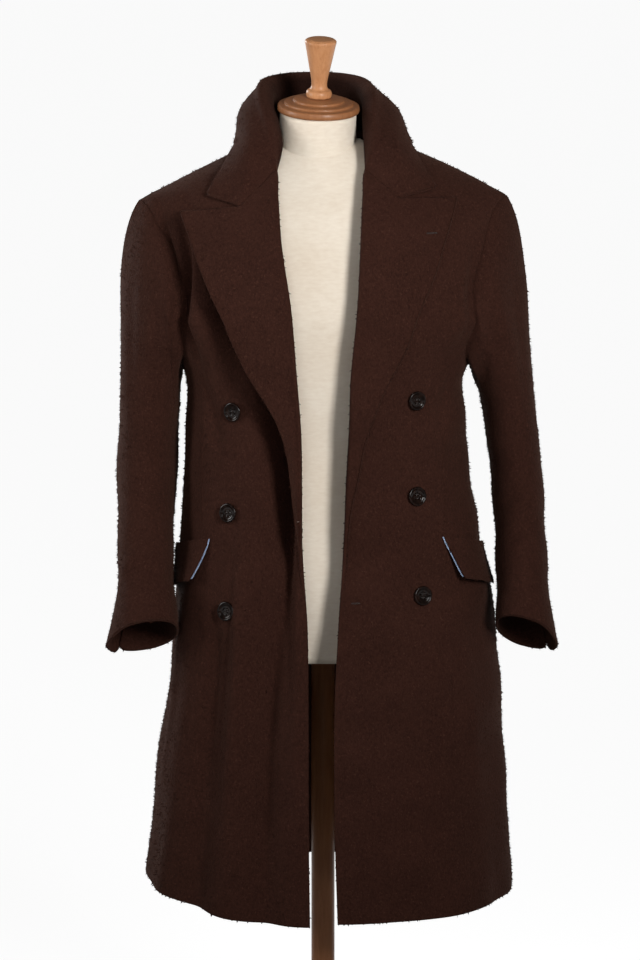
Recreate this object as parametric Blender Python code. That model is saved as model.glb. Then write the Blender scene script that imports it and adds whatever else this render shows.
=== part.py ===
"""A knee-length double-breasted overcoat, worn open on a limbless dress form with a neck cap and a stand.

Metres, +Z up, the floor at z = 0 under the stand, the coat's front towards -Y, the wearer's left at +X.
Every cloth piece is a thin wall: a grid of outer points, and the same points moved in by its thickness.
"""
import math

import bmesh
import bpy
import numpy as np
from mathutils import Matrix, Vector

SIDES = {"right": -1, "left": 1}


def table(columns, *rows):
    """A short table as a dictionary of its named columns."""
    return dict(zip(columns.split(), np.array(rows, float).T))


# Cloth and seams
CLOTH = 0.003
LINING = 0.001
SEAM = 0.0003
SQUARE = 2.3

# Body of the coat: half-widths to each side and depths to the front and back, up to the chest
HEM = 0.456
CHEST = 1.260
ARMPIT = 1.195
BODY = table(
    "height right left front back",
    (0.456, 0.242, 0.259, 0.200, 0.186),
    (0.530, 0.236, 0.255, 0.196, 0.180),
    (0.650, 0.222, 0.249, 0.187, 0.169),
    (0.770, 0.207, 0.240, 0.179, 0.158),
    (0.890, 0.198, 0.226, 0.168, 0.146),
    (0.990, 0.190, 0.208, 0.157, 0.129),
    (1.100, 0.185, 0.192, 0.149, 0.118),
    (1.190, 0.191, 0.195, 0.153, 0.126),
    (1.260, 0.232, 0.232, 0.157, 0.136),
)
HEM_FRONT_LIFT = {"right": 0.002, "left": 0.006}
HEM_SIDE_LIFT = {"right": 0.034, "left": 0.010}
HEM_BACK_LIFT = 0.012

# Shoulder line: from the neck point it falls to the shoulder tip, a little steeper all the way
NECK_HALF = 0.085
NECK_HEIGHT = 1.495
NECK_BACK = 0.075
SHOULDER_HALF = 0.246
SHOULDER_SLOPE = {"right": 0.45, "left": 0.33}
SHOULDER_CURVE = {"right": 0.30, "left": 0.80}

# Front edge, then the line along which the lapel rolls: distance from the middle on each side
FRONT_EDGE = table(
    "height right left",
    (0.456, 0.0172, 0.0195),
    (0.600, 0.0190, 0.0152),
    (0.760, 0.0195, 0.0155),
    (0.860, 0.0205, 0.0200),
    (0.960, 0.0270, 0.0265),
    (1.050, 0.0277, 0.0300),
    (1.120, 0.0290, 0.0335),
    (1.190, 0.0340, 0.0360),
    (1.290, 0.0425, 0.0450),
    (1.370, 0.0545, 0.0490),
    (1.430, 0.0590, 0.0520),
    (1.460, 0.0610, 0.0550),
    (1.495, 0.0850, 0.0850),
)

# Armhole, from the shoulder tip (share 0) down to the armpit (share 1), as angles round the body
ARMHOLE = table(
    "share front back",
    (0.00, 90.0, 90.0),
    (0.15, 74.0, 106.0),
    (0.35, 64.0, 115.0),
    (0.60, 58.0, 120.0),
    (0.80, 61.0, 118.0),
    (0.93, 75.0, 108.0),
    (1.00, 95.0, 95.0),
)

# Largest folds of the cloth: angles round the body, how far up they reach and how far they stand out
FOLD_FADE = 0.8
FOLDS = {
    "right": table(
        "hem_angle top_angle top width depth",
        (14.0, 17.0, 0.93, 4.5, -0.009),
        (29.0, 31.0, 1.02, 6.0, 0.006),
        (43.0, 42.0, 0.98, 6.0, -0.009),
        (60.0, 58.0, 0.96, 8.0, 0.007),
        (118.0, 112.0, 0.95, 9.0, -0.010),
        (142.0, 138.0, 1.00, 9.0, 0.008),
        (163.0, 160.0, 0.90, 6.0, -0.009),
    ),
    "left": table(
        "hem_angle top_angle top width depth",
        (18.0, 17.0, 0.80, 7.0, -0.003),
        (40.0, 38.0, 0.90, 9.0, 0.004),
        (68.0, 64.0, 0.86, 9.0, -0.005),
        (112.0, 108.0, 0.98, 9.0, 0.008),
        (134.0, 130.0, 0.92, 8.0, -0.010),
        (158.0, 156.0, 0.98, 8.0, 0.007),
    ),
}

# Rows of the panels: even up to the armpit, then drawn closer towards it so that the armhole is round
LOW_ROWS = 16
ARM_ROWS = 9
BREAK_ROW = 11
GORGE_ROW = LOW_ROWS + ARM_ROWS - 2
FRONT_COLUMNS = 12
BACK_COLUMNS = 9

# Lapels: radius of the roll, outer edge from the break up to the peak, notch and peak
ROLL = 0.0050
ROLL_AT_BREAK = 0.0036
ROLL_ARC = np.radians((-90.0, -45.0, 0.0, 45.0, 90.0))
LEAF_COLUMNS = 8
LAPEL_EDGE = {
    "right": table(
        "height reach",
        (0.962, 0.0330), (1.003, 0.0365), (1.048, 0.0405), (1.090, 0.0450), (1.134, 0.0562),
        (1.165, 0.0708), (1.196, 0.0884), (1.260, 0.1218), (1.301, 0.1418), (1.339, 0.1585),
        (1.373, 0.1720), (1.402, 0.1842),
    ),
    "left": table(
        "height reach",
        (0.962, 0.0330), (0.986, 0.0345), (1.017, 0.0380), (1.048, 0.0450), (1.110, 0.0570),
        (1.136, 0.0650), (1.170, 0.0782), (1.222, 0.1049), (1.289, 0.1304), (1.331, 0.1480),
        (1.380, 0.1630), (1.422, 0.1760),
    ),
}
NOTCH = {"right": (0.1075, 1.4134), "left": (0.0993, 1.4245)}
NOTCH_COLUMN = 3
NOTCH_SHARE = NOTCH_COLUMN / LEAF_COLUMNS
NOTCH_SHARPNESS = 6
LEAF_CLEAR = 0.0012
LEAF_LIFT = {"right": 0.011, "left": 0.003}

# Collar, from the gorge round to the centre back: neck seam, top of the roll, middle and edge of the fall
COLLAR = table(
    "seam_x seam_y seam_z crest_x crest_y crest_z middle_x middle_y middle_z edge_x edge_y edge_z",
    (0.0680, -0.060, 1.477, 0.0640, -0.068, 1.505, 0.098, -0.082, 1.486, 0.137, -0.052, 1.464),
    (0.0740, -0.030, 1.493, 0.0660, -0.038, 1.534, 0.097, -0.040, 1.517, 0.121, -0.016, 1.4890),
    (0.0790, 0.004, 1.499, 0.0710, 0.002, 1.558, 0.101, 0.004, 1.530, 0.120, 0.016, 1.4905),
    (0.0700, 0.042, 1.501, 0.0710, 0.046, 1.571, 0.100, 0.058, 1.532, 0.109, 0.074, 1.486),
    (0.0420, 0.068, 1.502, 0.0410, 0.080, 1.577, 0.060, 0.104, 1.538, 0.068, 0.116, 1.482),
    (0.0000, 0.076, 1.502, 0.0000, 0.094, 1.579, 0.000, 0.117, 1.540, 0.000, 0.126, 1.480),
)
COLLAR_TIP = {"right": (0.1540, 1.4235), "left": (0.1500, 1.4325)}
COLLAR_TIP_OUT = 0.009
COLLAR_LEAN = -0.011
COLLAR_LEAN_FROM = 1.500
COLLAR_LEAN_SPAN = 0.070
COLLAR_LEAN_MOST = 1.2
COLLAR_ROLL = 0.009
COLLAR_ROLL_DROP = 0.7
STAND_COLUMNS = 3
TIP_COLUMNS = 4
GORGE_GAP = 0.0004
COLLAR_ROWS_A_SIDE = 13

# Sleeves below the armhole: middle, half-width, half-depth and forward swing of each section
SLEEVE = table(
    "height right_x left_x right_half left_half depth forward",
    (0.830, 0.2420, 0.2710, 0.0400, 0.0385, 0.054, 0.108),
    (0.890, 0.2415, 0.2695, 0.0358, 0.0350, 0.058, 0.072),
    (0.970, 0.2415, 0.2670, 0.0365, 0.0342, 0.064, 0.029),
    (1.050, 0.2390, 0.2620, 0.0390, 0.0352, 0.070, 0.002),
    (1.130, 0.2350, 0.2525, 0.0415, 0.0370, 0.074, -0.004),
)
SLEEVE_SQUARE = 2.2
HEAD_OUT = 0.42
HEAD_OUT_AT_TIP = {"right": 0.57, "left": 0.47}
HEAD_FORWARD = 0.45
HEAD_DOWN = 0.78
HEAD_LEAVES = 0.22
HEAD_ARRIVES = 0.40
SLEEVE_HEAD_ROWS = 5
SLEEVE_ROWS = 9
ARMPIT_EASE = 0.002
SEAM_AT_FRONT = 7
SEAM_AT_BACK = 2 * ARM_ROWS - 2
VENT = 0.085
VENT_FLARE = 0.012
VENT_SPREAD = 0.55

# Pocket flaps: angles of the front and back ends, heights, and how far the lower edge stands off
FLAP_TOP = {"right": (0.970, 0.945), "left": (0.974, 0.948)}
FLAP_DEPTH = 0.058
FLAP_ENDS = {"right": (50.0, 92.0), "left": (46.4, 90.0)}
FLAP_RAKE = 4.6
FLAP_CURVE = 1.2
FLAP_STAND = 0.014
FLAP_SWELL = 1.5
FLAP_CLEAR = 0.0009
FLAP_COLUMNS = 6
FLAP_ROWS = 4
LINING_PEEK = 0.45

# Buttons: three on each front, set by their distance from the middle, their height and how clear they lie
BUTTON_RADIUS = 0.013
BUTTON_HEIGHT = 0.0050
BUTTON_SEGMENTS = 16
BUTTONS = {
    "right": table(
        "reach height clear",
        (0.1206, 1.143, 0.0009),
        (0.1257, 1.008, 0.0007),
        (0.1298, 0.877, 0.0009),
    ),
    "left": table(
        "reach height clear",
        (0.1232, 1.159, 0.0009),
        (0.1232, 1.031, 0.0008),
        (0.1334, 0.899, 0.0007),
    ),
}

# Dress form: half-widths and depths up to its chest, its shoulders just under the cloth
FORM = table(
    "height half front back",
    (0.800, 0.160, 0.112, 0.112),
    (0.900, 0.170, 0.124, 0.120),
    (1.000, 0.158, 0.112, 0.100),
    (1.100, 0.146, 0.104, 0.088),
    (1.190, 0.158, 0.114, 0.098),
    (1.260, 0.178, 0.122, 0.110),
)
FORM_BOTTOM = 0.800
FORM_SHOULDER_HALF = 0.205
FORM_UNDER_CLOTH = 0.0041
FORM_COLUMNS = 14
FORM_ROWS = 9
FORM_SHOULDER_ROWS = 7
NECK_TILT = math.radians(10.0)
NECK_LEAN = math.radians(2.0)
NECK_FOOT = (-0.010, 0.004, 1.430)
NECK_LENGTH = 0.106
NECK_PROFILE = ((0.060, 0.0), (0.057, 0.030), (0.0525, 0.065), (0.051, NECK_LENGTH))
CAP_PROFILE = (
    (0.0525, 0.0), (0.0550, 0.002), (0.0550, 0.007), (0.0525, 0.0095), (0.0460, 0.0105), (0.0440, 0.0130),
    (0.0340, 0.0145), (0.0325, 0.0170), (0.0220, 0.0190),
)
FINIAL_PROFILE = (
    (0.0160, 0.0), (0.0171, 0.003), (0.0171, 0.007), (0.0158, 0.0098), (0.0118, 0.0125), (0.0104, 0.0170),
    (0.0110, 0.0240), (0.0208, 0.0735), (0.0212, 0.0760), (0.0202, 0.0782), (0.0100, 0.0805),
)
TURNED_SEGMENTS = 28
POLE_RADIUS = 0.016
BASE_PROFILE = (
    (0.196, 0.0), (0.200, 0.004), (0.200, 0.016), (0.194, 0.0215), (0.060, 0.029), (0.040, 0.034),
    (0.034, 0.052), (0.026, 0.056),
)


def smooth(at, stops, values):
    """Reads a curve through the stops as cubic pieces whose slopes are averaged between neighbours."""
    slopes = np.gradient(values, stops, axis=0)
    at = np.clip(at, stops[0], stops[-1])
    k = np.clip(np.searchsorted(stops, at, side="right") - 1, 0, len(stops) - 2)
    step = stops[k + 1] - stops[k]
    f = (at - stops[k]) / step
    start = values[k] * (1 + 2 * f) * (1 - f) ** 2 + slopes[k] * step * f * (1 - f) ** 2
    return start + values[k + 1] * f**2 * (3 - 2 * f) + slopes[k + 1] * step * f**2 * (f - 1)


def power(value, exponent):
    """A power that keeps the sign."""
    return np.sign(value) * np.abs(value) ** exponent


def unit(vectors):
    return vectors / np.linalg.norm(vectors, axis=-1, keepdims=True)


def shoulder_height(side, reach):
    """Height of the shoulder line at a distance from the middle."""
    past = np.maximum(np.abs(reach) - NECK_HALF, 0)
    return NECK_HEIGHT - SHOULDER_SLOPE[side] * past - SHOULDER_CURVE[side] * past**2


def shoulder_normal(side, reach):
    """Up and out from the shoulder line."""
    past = np.abs(reach) - NECK_HALF
    fall = SHOULDER_SLOPE[side] * np.clip(1 + 2 * past / NECK_HALF, 0, 1)
    fall = fall + 2 * SHOULDER_CURVE[side] * np.maximum(past, 0)
    return unit(np.stack((SIDES[side] * fall, 0 * fall, 1 + 0 * fall), axis=-1))


def hem_height(side, turn):
    """Height of the hem, which rises a little from the front round to the sides."""
    ahead = np.cos(turn)
    rise = HEM_FRONT_LIFT[side] * np.maximum(ahead, 0) + HEM_BACK_LIFT * np.maximum(-ahead, 0)
    return HEM + rise + HEM_SIDE_LIFT[side] * np.sin(turn) ** 2


def body_base(side, turn, way):
    """A point of the coat's body without folds.

    turn runs from the centre front (0) to the centre back (pi). way runs from the hem (0) up to the chest
    (1), and from there, as a quarter of an ellipse in depth, to the shoulder line (2).
    """
    low = np.minimum(way, 1)
    level = HEM + low * (CHEST - HEM)
    climb = np.maximum(way - 1, 0) * math.pi / 2
    grow = np.clip(way - 1, 0, 1)
    half = smooth(level, BODY["height"], BODY[side])
    half = half + (SHOULDER_HALF - half) * grow**2 * (3 - 2 * grow)
    behind = np.cos(turn) < 0
    depth = np.where(
        behind, smooth(level, BODY["height"], BODY["back"]), smooth(level, BODY["height"], BODY["front"])
    )
    across = half * power(np.sin(turn), 2 / SQUARE)
    ring = depth * np.abs(np.cos(turn)) ** (2 / SQUARE)
    neck = np.where(behind, NECK_BACK * np.clip(1 - (across / NECK_HALF) ** 2, 0, None), 0)
    away = neck + (ring - neck) * np.cos(climb)
    hem = hem_height(side, turn)
    height = hem + low * (CHEST - hem) + (shoulder_height(side, across) - CHEST) * np.sin(climb)
    return np.stack((SIDES[side] * across, np.where(behind, away, -away), height), axis=-1)


def body_normal(side, turn, way):
    """The outward direction of the unfolded body, from the slopes along turn and way."""
    e = 1e-4
    along = body_base(side, turn + e, way) - body_base(side, turn - e, way)
    up = body_base(side, turn, way + e) - body_base(side, turn, way - e)
    return unit(np.cross(along, up)) * SIDES[side]


def fold_height(side, turn, height):
    """How far the folds stand out: each a soft ridge or trough that grows from its top down to the hem."""
    folds = FOLDS[side]
    total = np.zeros(np.broadcast(turn, height).shape)
    for hem_angle, top_angle, top, width, depth in zip(*folds.values()):
        down = np.clip((top - height) / (top - HEM), 0, 1)
        middle = top_angle + (hem_angle - top_angle) * down
        total += depth * down**FOLD_FADE * np.exp(-(((np.degrees(turn) - middle) / width) ** 2))
    return total


def body(side, turn, way, out=0.0):
    """A point of the folded coat, moved out along the body's own outward direction."""
    turn, way = np.broadcast_arrays(np.asarray(turn, float), np.asarray(way, float))
    base = body_base(side, turn, way)
    lift = fold_height(side, turn, base[..., 2]) + out
    return base + body_normal(side, turn, way) * lift[..., None]


def turn_and_way(side, reach, height):
    """Where on the front a point lies that is a distance from the middle, at a height."""
    reach, height = np.broadcast_arrays(np.asarray(reach, float), np.asarray(height, float))
    turn = np.full(reach.shape, 0.2)
    for _ in range(4):
        hem = hem_height(side, turn)
        rise = np.clip((height - CHEST) / (shoulder_height(side, reach) - CHEST), 0, 1)
        low = (height - hem) / (CHEST - hem)
        way = np.where(height > CHEST, 1 + np.arcsin(rise) * 2 / math.pi, low)
        grow = np.clip(way - 1, 0, 1)
        half = smooth(HEM + np.minimum(way, 1) * (CHEST - HEM), BODY["height"], BODY[side])
        half = half + (SHOULDER_HALF - half) * grow**2 * (3 - 2 * grow)
        turn = np.arcsin(np.clip((reach / half) ** (SQUARE / 2), 0, 1))
    return turn, way


def body_at(side, reach, height, out=0.0):
    return body(side, *turn_and_way(side, reach, height), out)


# The ways of the panels' rows, with the armhole's share of each row above the armpit
ARM_WAY = (ARMPIT - HEM) / (CHEST - HEM)
ARM_SHARES = np.linspace(1, 0, ARM_ROWS + 1)
TOP_GAP = 0.0008
ROW_WAYS = np.concatenate(
    (np.linspace(0, ARM_WAY, LOW_ROWS + 1), (2 - (2 - ARM_WAY) * np.sin(ARM_SHARES * math.pi / 2))[1:])
)
ROW_WAYS[-1] -= TOP_GAP


def row_heights(side):
    """Heights of the panels' rows at the front edge."""
    hem = hem_height(side, 0.0)
    above = CHEST + (NECK_HEIGHT - CHEST) * np.sin((ROW_WAYS - 1) * math.pi / 2)
    return np.where(ROW_WAYS <= 1, hem + ROW_WAYS * (CHEST - hem), above)


def armhole_turn(end):
    """The angle at which each row of a panel ends: the side seam, then the armhole above the armpit."""
    share = np.concatenate((np.ones(LOW_ROWS), ARM_SHARES))
    return np.radians(smooth(share, ARMHOLE["share"], ARMHOLE[end]))


def roll_radius(side, height):
    """Radius of the lapel's roll: nothing on the plain edge below the break, full a little above it."""
    start, full = row_heights(side)[[BREAK_ROW, BREAK_ROW + 3]]
    share = np.clip((height - start) / (full - start), 0, 1)
    return np.where(height < start - 1e-6, 0.0, ROLL_AT_BREAK + (ROLL - ROLL_AT_BREAK) * share)


def roll_reach(side, height):
    """Where the front panel stops and the lapel's roll starts."""
    return smooth(height, FRONT_EDGE["height"], FRONT_EDGE[side]) + roll_radius(side, height)


def make_object(name, mesh, material):
    mesh.shade_smooth()
    mesh.set_sharp_from_angle(angle=math.radians(40))
    mesh.materials.append(material)
    piece = bpy.data.objects.new(name, mesh)
    bpy.context.collection.objects.link(piece)
    return piece


def mesh_from(name, points, faces):
    mesh = bpy.data.meshes.new(name)
    mesh.from_pydata(points.tolist(), [], faces)
    work = bmesh.new()
    work.from_mesh(mesh)
    bmesh.ops.remove_doubles(work, verts=work.verts, dist=1e-6)
    bmesh.ops.recalc_face_normals(work, faces=work.faces)
    work.to_mesh(mesh)
    work.free()
    return mesh


def wall(name, outer, inward, thickness, material):
    """A closed wall: the grid of outer points, the same moved inward, and a strip round the four edges."""
    rows, columns = outer.shape[:2]
    inner = outer + inward * thickness
    points = np.concatenate((outer.reshape(-1, 3), inner.reshape(-1, 3)))
    index = np.arange(rows * columns).reshape(rows, columns)
    quads = np.stack((index[:-1, :-1], index[:-1, 1:], index[1:, 1:], index[1:, :-1]), axis=-1)
    quads = quads.reshape(-1, 4)
    size = rows * columns
    a, b = np.concatenate((index[0, :-1], index[:-1, -1])), np.concatenate((index[0, 1:], index[1:, -1]))
    c, d = np.concatenate((index[-1, :-1], index[:-1, 0])), np.concatenate((index[-1, 1:], index[1:, 0]))
    rim_ahead = np.stack((b, a, a + size, b + size), axis=-1)
    rim_behind = np.stack((d, d + size, c + size, c), axis=-1)
    faces = np.concatenate((quads, quads[:, ::-1] + size, rim_ahead, rim_behind))
    return make_object(name, mesh_from(name, points, faces.tolist()), material)


def grid_normals(points):
    """The directions square to a grid of points, from the steps to its neighbours."""
    return unit(np.cross(np.gradient(points, axis=0), np.gradient(points, axis=1)))


def turned(name, profile, segments, material, place=None):
    """A solid turned round its own axis from (radius, height) points, closed flat at both ends."""
    angles = np.arange(segments) * 2 * math.pi / segments
    radius, height = np.array(profile).T
    points = np.stack(
        (
            radius[:, None] * np.cos(angles),
            radius[:, None] * np.sin(angles),
            np.repeat(height[:, None], segments, axis=1),
        ),
        axis=-1,
    ).reshape(-1, 3)
    if place is not None:
        points = points @ np.array(place.to_3x3()).T + np.array(place.translation)
    index = np.arange(len(profile) * segments).reshape(len(profile), segments)
    after = np.roll(index, -1, axis=1)
    quads = np.stack((index[:-1], after[:-1], after[1:], index[1:]), axis=-1).reshape(-1, 4).tolist()
    faces = quads + [index[0][::-1].tolist(), index[-1].tolist()]
    return make_object(name, mesh_from(name, points, faces), material)


def plain_material(name, colour, roughness):
    material = bpy.data.materials.new(name)
    material.use_nodes = True
    shader = material.node_tree.nodes["Principled BSDF"]
    shader.inputs["Base Color"].default_value = (*colour, 1.0)
    shader.inputs["Roughness"].default_value = roughness
    return material


def panel(name, side, turns, facing, material):
    """A body panel from the angles of its rows, its top row parted from the other along the shoulder."""
    ways = ROW_WAYS[:, None] + 0 * turns
    outer = body(side, turns, ways)
    inward = -body_normal(side, turns, ways)
    outer[-1, :, 1] = facing * np.maximum(facing * outer[-1, :, 1], SEAM / 2)
    inward[-1] = -shoulder_normal(side, outer[-1, :, 0])
    return wall(name, outer, inward, CLOTH, material)


def row_half(side):
    """Half-width of the body at each row of the panels."""
    return np.abs(body_base(side, math.pi / 2, ROW_WAYS)[:, 0])


def front_panel(side, material):
    """A front: from its edge or the lapel's roll round to the side seam and the armhole."""
    reach = roll_reach(side, row_heights(side))
    reach[BREAK_ROW:] += SEAM
    half = row_half(side)
    start = np.arcsin(np.clip((reach / half) ** (SQUARE / 2), 0, 1))
    end = armhole_turn("front") - SEAM / 2 / half
    turns = start[:, None] + (end - start)[:, None] * np.linspace(0, 1, FRONT_COLUMNS + 1)
    return panel(f"front_{side}", side, turns, -1, material)


def back_panel(side, material):
    """Half of the back: from the side seam and the armhole to the centre back seam."""
    half = row_half(side)
    start = armhole_turn("back") + SEAM / 2 / half
    end = math.pi - np.arcsin((SEAM / 2 / half) ** (SQUARE / 2))
    turns = start[:, None] + (end - start)[:, None] * np.linspace(0, 1, BACK_COLUMNS + 1)
    return panel(f"back_{side}", side, turns, 1, material)


def lapel_grid(side):
    """The lapel's outer points and the ways into its wall: round the roll, then back over the chest."""
    heights = row_heights(side)[BREAK_ROW : GORGE_ROW + 1][:, None]
    share = (heights - heights[0]) / (heights[-1] - heights[0])
    reach = roll_reach(side, heights)
    radius = roll_radius(side, heights)
    arc_heights = heights + 0 * ROLL_ARC
    arc_out = radius - CLOTH + radius * np.sin(ROLL_ARC)
    arc = body_at(side, reach - radius * np.cos(ROLL_ARC), arc_heights, arc_out)
    upright = body_normal(side, *turn_and_way(side, reach, heights))
    sideways = unit(body_at(side, reach + ROLL, heights) - body_at(side, reach, heights))
    cos, sin = np.cos(ROLL_ARC)[:, None], np.sin(ROLL_ARC)[:, None]
    arc_inward = sideways * cos - upright * sin

    edge = LAPEL_EDGE[side]
    edge_height = edge["height"][0] + share * (edge["height"][-1] - edge["height"][0])
    edge_reach = smooth(edge_height, edge["height"], edge["reach"])
    w = np.linspace(0, 1, LEAF_COLUMNS + 1)[1:]
    leaf_reach = reach + (edge_reach - reach) * w
    leaf_height = heights + (edge_height - heights) * w
    tent = np.minimum(w / NOTCH_SHARE, (1 - w) / (1 - NOTCH_SHARE)) * share**NOTCH_SHARPNESS
    notch_reach = reach[-1] + (edge_reach[-1] - reach[-1]) * NOTCH_SHARE
    notch_height = heights[-1] + (edge_height[-1] - heights[-1]) * NOTCH_SHARE
    leaf_reach = leaf_reach + (NOTCH[side][0] - notch_reach) * tent
    leaf_height = leaf_height + (NOTCH[side][1] - notch_height) * tent
    rest = CLOTH + LEAF_CLEAR
    lift = LEAF_LIFT[side] * np.sin(math.pi * share) * w**2
    out = rest + (2 * radius - CLOTH - rest) * (1 - w) ** 2 + lift
    turn, way = turn_and_way(side, leaf_reach, leaf_height)
    points = np.concatenate((arc, body(side, turn, way, out)), axis=1)
    return points, np.concatenate((arc_inward, -body_normal(side, turn, way)), axis=1)


def lapel(side, material):
    return wall(f"lapel_{side}", *lapel_grid(side), CLOTH, material)


def collar_lean(height):
    """How far the top of the collar leans to the wearer's right."""
    return COLLAR_LEAN * np.clip((height - COLLAR_LEAN_FROM) / COLLAR_LEAN_SPAN, 0, COLLAR_LEAN_MOST)


def gorge(side):
    """The collar's first section: along the lapel's top edge to the notch, then free out to its tip."""
    points, inward = (grid[-1] for grid in lapel_grid(side))
    notch = len(ROLL_ARC) - 1 + NOTCH_COLUMN
    tip = body_at(side, *COLLAR_TIP[side], COLLAR_TIP_OUT)
    stand = np.linspace(0, 1, STAND_COLUMNS + 1)[:-1, None]
    free = np.linspace(0, 1, TIP_COLUMNS + 1)[1:, None]
    start = points[0] + (points[1] - points[0]) * stand
    end = points[notch] + (tip - points[notch]) * free
    section = np.concatenate((start, points[1 : notch + 1], end))
    start_into = inward[0] + (inward[1] - inward[0]) * stand
    end_into = np.repeat(inward[notch][None], TIP_COLUMNS, axis=0)
    into = np.concatenate((start_into, inward[1 : notch + 1], end_into))
    return section + np.array((0, 0, GORGE_GAP)), into


def collar_sections(side):
    """The collar's sections from the gorge to the centre back, each a curve through its guide points."""
    first, _ = gorge(side)
    columns = len(first)
    marks = np.cumsum((0, STAND_COLUMNS, 1, 2, NOTCH_COLUMN, TIP_COLUMNS)).astype(float)
    sections = [first]
    for row in zip(*COLLAR.values()):
        seam, crest, middle, edge = np.reshape(row, (4, 3))
        outward = unit(middle[:2] - seam[:2]) * COLLAR_ROLL
        drop = COLLAR_ROLL_DROP * COLLAR_ROLL
        inner, outer = crest + (*-outward, -drop), crest + (*outward, -drop)
        guides = np.stack((seam, inner, crest, outer, middle, edge))
        guides[:, 0] = guides[:, 0] * SIDES[side] + collar_lean(guides[:, 2])
        curve = [smooth(np.arange(columns), marks, guides[:, axis]) for axis in range(3)]
        sections.append(np.stack(curve, axis=-1))
    return np.array(sections)


def collar(material):
    """The collar: neck seam, stand, roll and fall in one bent wall, carried from gorge to gorge."""
    sections = np.concatenate((collar_sections("right"), collar_sections("left")[-2::-1]))
    stations = np.arange(len(sections), dtype=float)
    rows = np.linspace(0, stations[-1], 2 * COLLAR_ROWS_A_SIDE + 1)
    columns = sections.shape[1]
    points = np.stack(
        [
            np.stack([smooth(rows, stations, sections[:, column, axis]) for axis in range(3)], axis=-1)
            for column in range(columns)
        ],
        axis=1,
    )
    normals = grid_normals(points)
    middle = len(rows) // 2
    inward = normals if normals[middle, -1, 1] < 0 else -normals
    inward[0], inward[-1] = gorge("right")[1], gorge("left")[1]
    return wall("collar", points, inward, CLOTH, material)


def sleeve_ring(side, height, angles):
    """A section of the hanging sleeve: a soft oval square to the sleeve's own line."""
    e = 1e-3

    def middle(at):
        return np.array(
            (
                SIDES[side] * smooth(at, SLEEVE["height"], SLEEVE[f"{side}_x"]),
                -smooth(at, SLEEVE["height"], SLEEVE["forward"]),
                at,
            )
        )

    low, high = max(height - e, SLEEVE["height"][0]), min(height + e, SLEEVE["height"][-1])
    axis = unit(middle(high) - middle(low))
    sideways = unit(np.array((1.0, 0.0, 0.0)) - axis[0] * axis)
    forward = np.cross(sideways, axis)
    half = smooth(height, SLEEVE["height"], SLEEVE[f"{side}_half"])
    depth = smooth(height, SLEEVE["height"], SLEEVE["depth"])
    wide = SIDES[side] * half * power(np.cos(angles), 2 / SLEEVE_SQUARE)
    deep = depth * power(np.sin(angles), 2 / SLEEVE_SQUARE)
    return middle(height) + wide[:, None] * sideways + deep[:, None] * forward, axis


def sleeve_grid(side):
    """The sleeve's outer points, ring by ring from the armhole to the cuff, and the ways into its wall.

    A ring starts at the shoulder tip, goes down the front to the armpit and up the back. The head bends as
    a Bezier curve from each armhole point to its point on the first hanging section.
    """
    share = np.linspace(0, 1, ARM_ROWS + 1)
    ways = ROW_WAYS[LOW_ROWS:][::-1]
    front, back = (np.radians(smooth(share, ARMHOLE["share"], ARMHOLE[end])) for end in ("front", "back"))
    turns = np.concatenate((front, back[-2:0:-1]))
    ring_ways = np.concatenate((ways, ways[-2:0:-1]))
    armhole = body(side, turns, ring_ways)
    upright = body_normal(side, turns, ring_ways)
    upright[0] = shoulder_normal(side, armhole[0, 0])
    count = len(armhole)
    angles = np.arange(count) * 2 * math.pi / count
    top, axis = sleeve_ring(side, SLEEVE["height"][-1], angles)
    leave = unit(
        np.stack(
            (
                SIDES[side] * (HEAD_OUT + (HEAD_OUT_AT_TIP[side] - HEAD_OUT) * np.cos(angles)),
                -HEAD_FORWARD * np.sin(angles),
                np.full(count, -HEAD_DOWN),
            ),
            axis=-1,
        )
    )
    rim = (np.roll(armhole, -1, axis=0) - np.roll(armhole, 1, axis=0)) * SIDES[side]
    onward = unit(np.cross(upright, rim))
    seam_inward = unit(np.cross(leave, rim))
    pinch = np.maximum(-np.sum(seam_inward * onward, axis=1, keepdims=True), 0)
    under = np.maximum(-np.cos(angles), 0)[:, None]
    armhole = armhole + onward * (SEAM + CLOTH * pinch) + upright * (SEAM + ARMPIT_EASE * under)
    span = np.linalg.norm(top - armhole, axis=1, keepdims=True)
    a, b = armhole, armhole + leave * span * HEAD_LEAVES
    c, d = top + axis * span * HEAD_ARRIVES, top
    rings = []
    for f in np.linspace(0, 1, SLEEVE_HEAD_ROWS + 1):
        rings.append(a * (1 - f) ** 3 + 3 * b * f * (1 - f) ** 2 + 3 * c * f**2 * (1 - f) + d * f**3)
    heights = np.linspace(SLEEVE["height"][-1], SLEEVE["height"][0], SLEEVE_ROWS + 1)[1:]
    rings.extend(sleeve_ring(side, height, angles)[0] for height in heights)
    points = np.array(rings)
    around = np.concatenate((points[:, -1:], points, points[:, :1]), axis=1)
    normals = grid_normals(around)[:, 1:-1]
    inward = normals if np.sum(normals * (points.mean(axis=1, keepdims=True) - points)) > 0 else -normals
    inward[0] = seam_inward
    return points, inward


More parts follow.
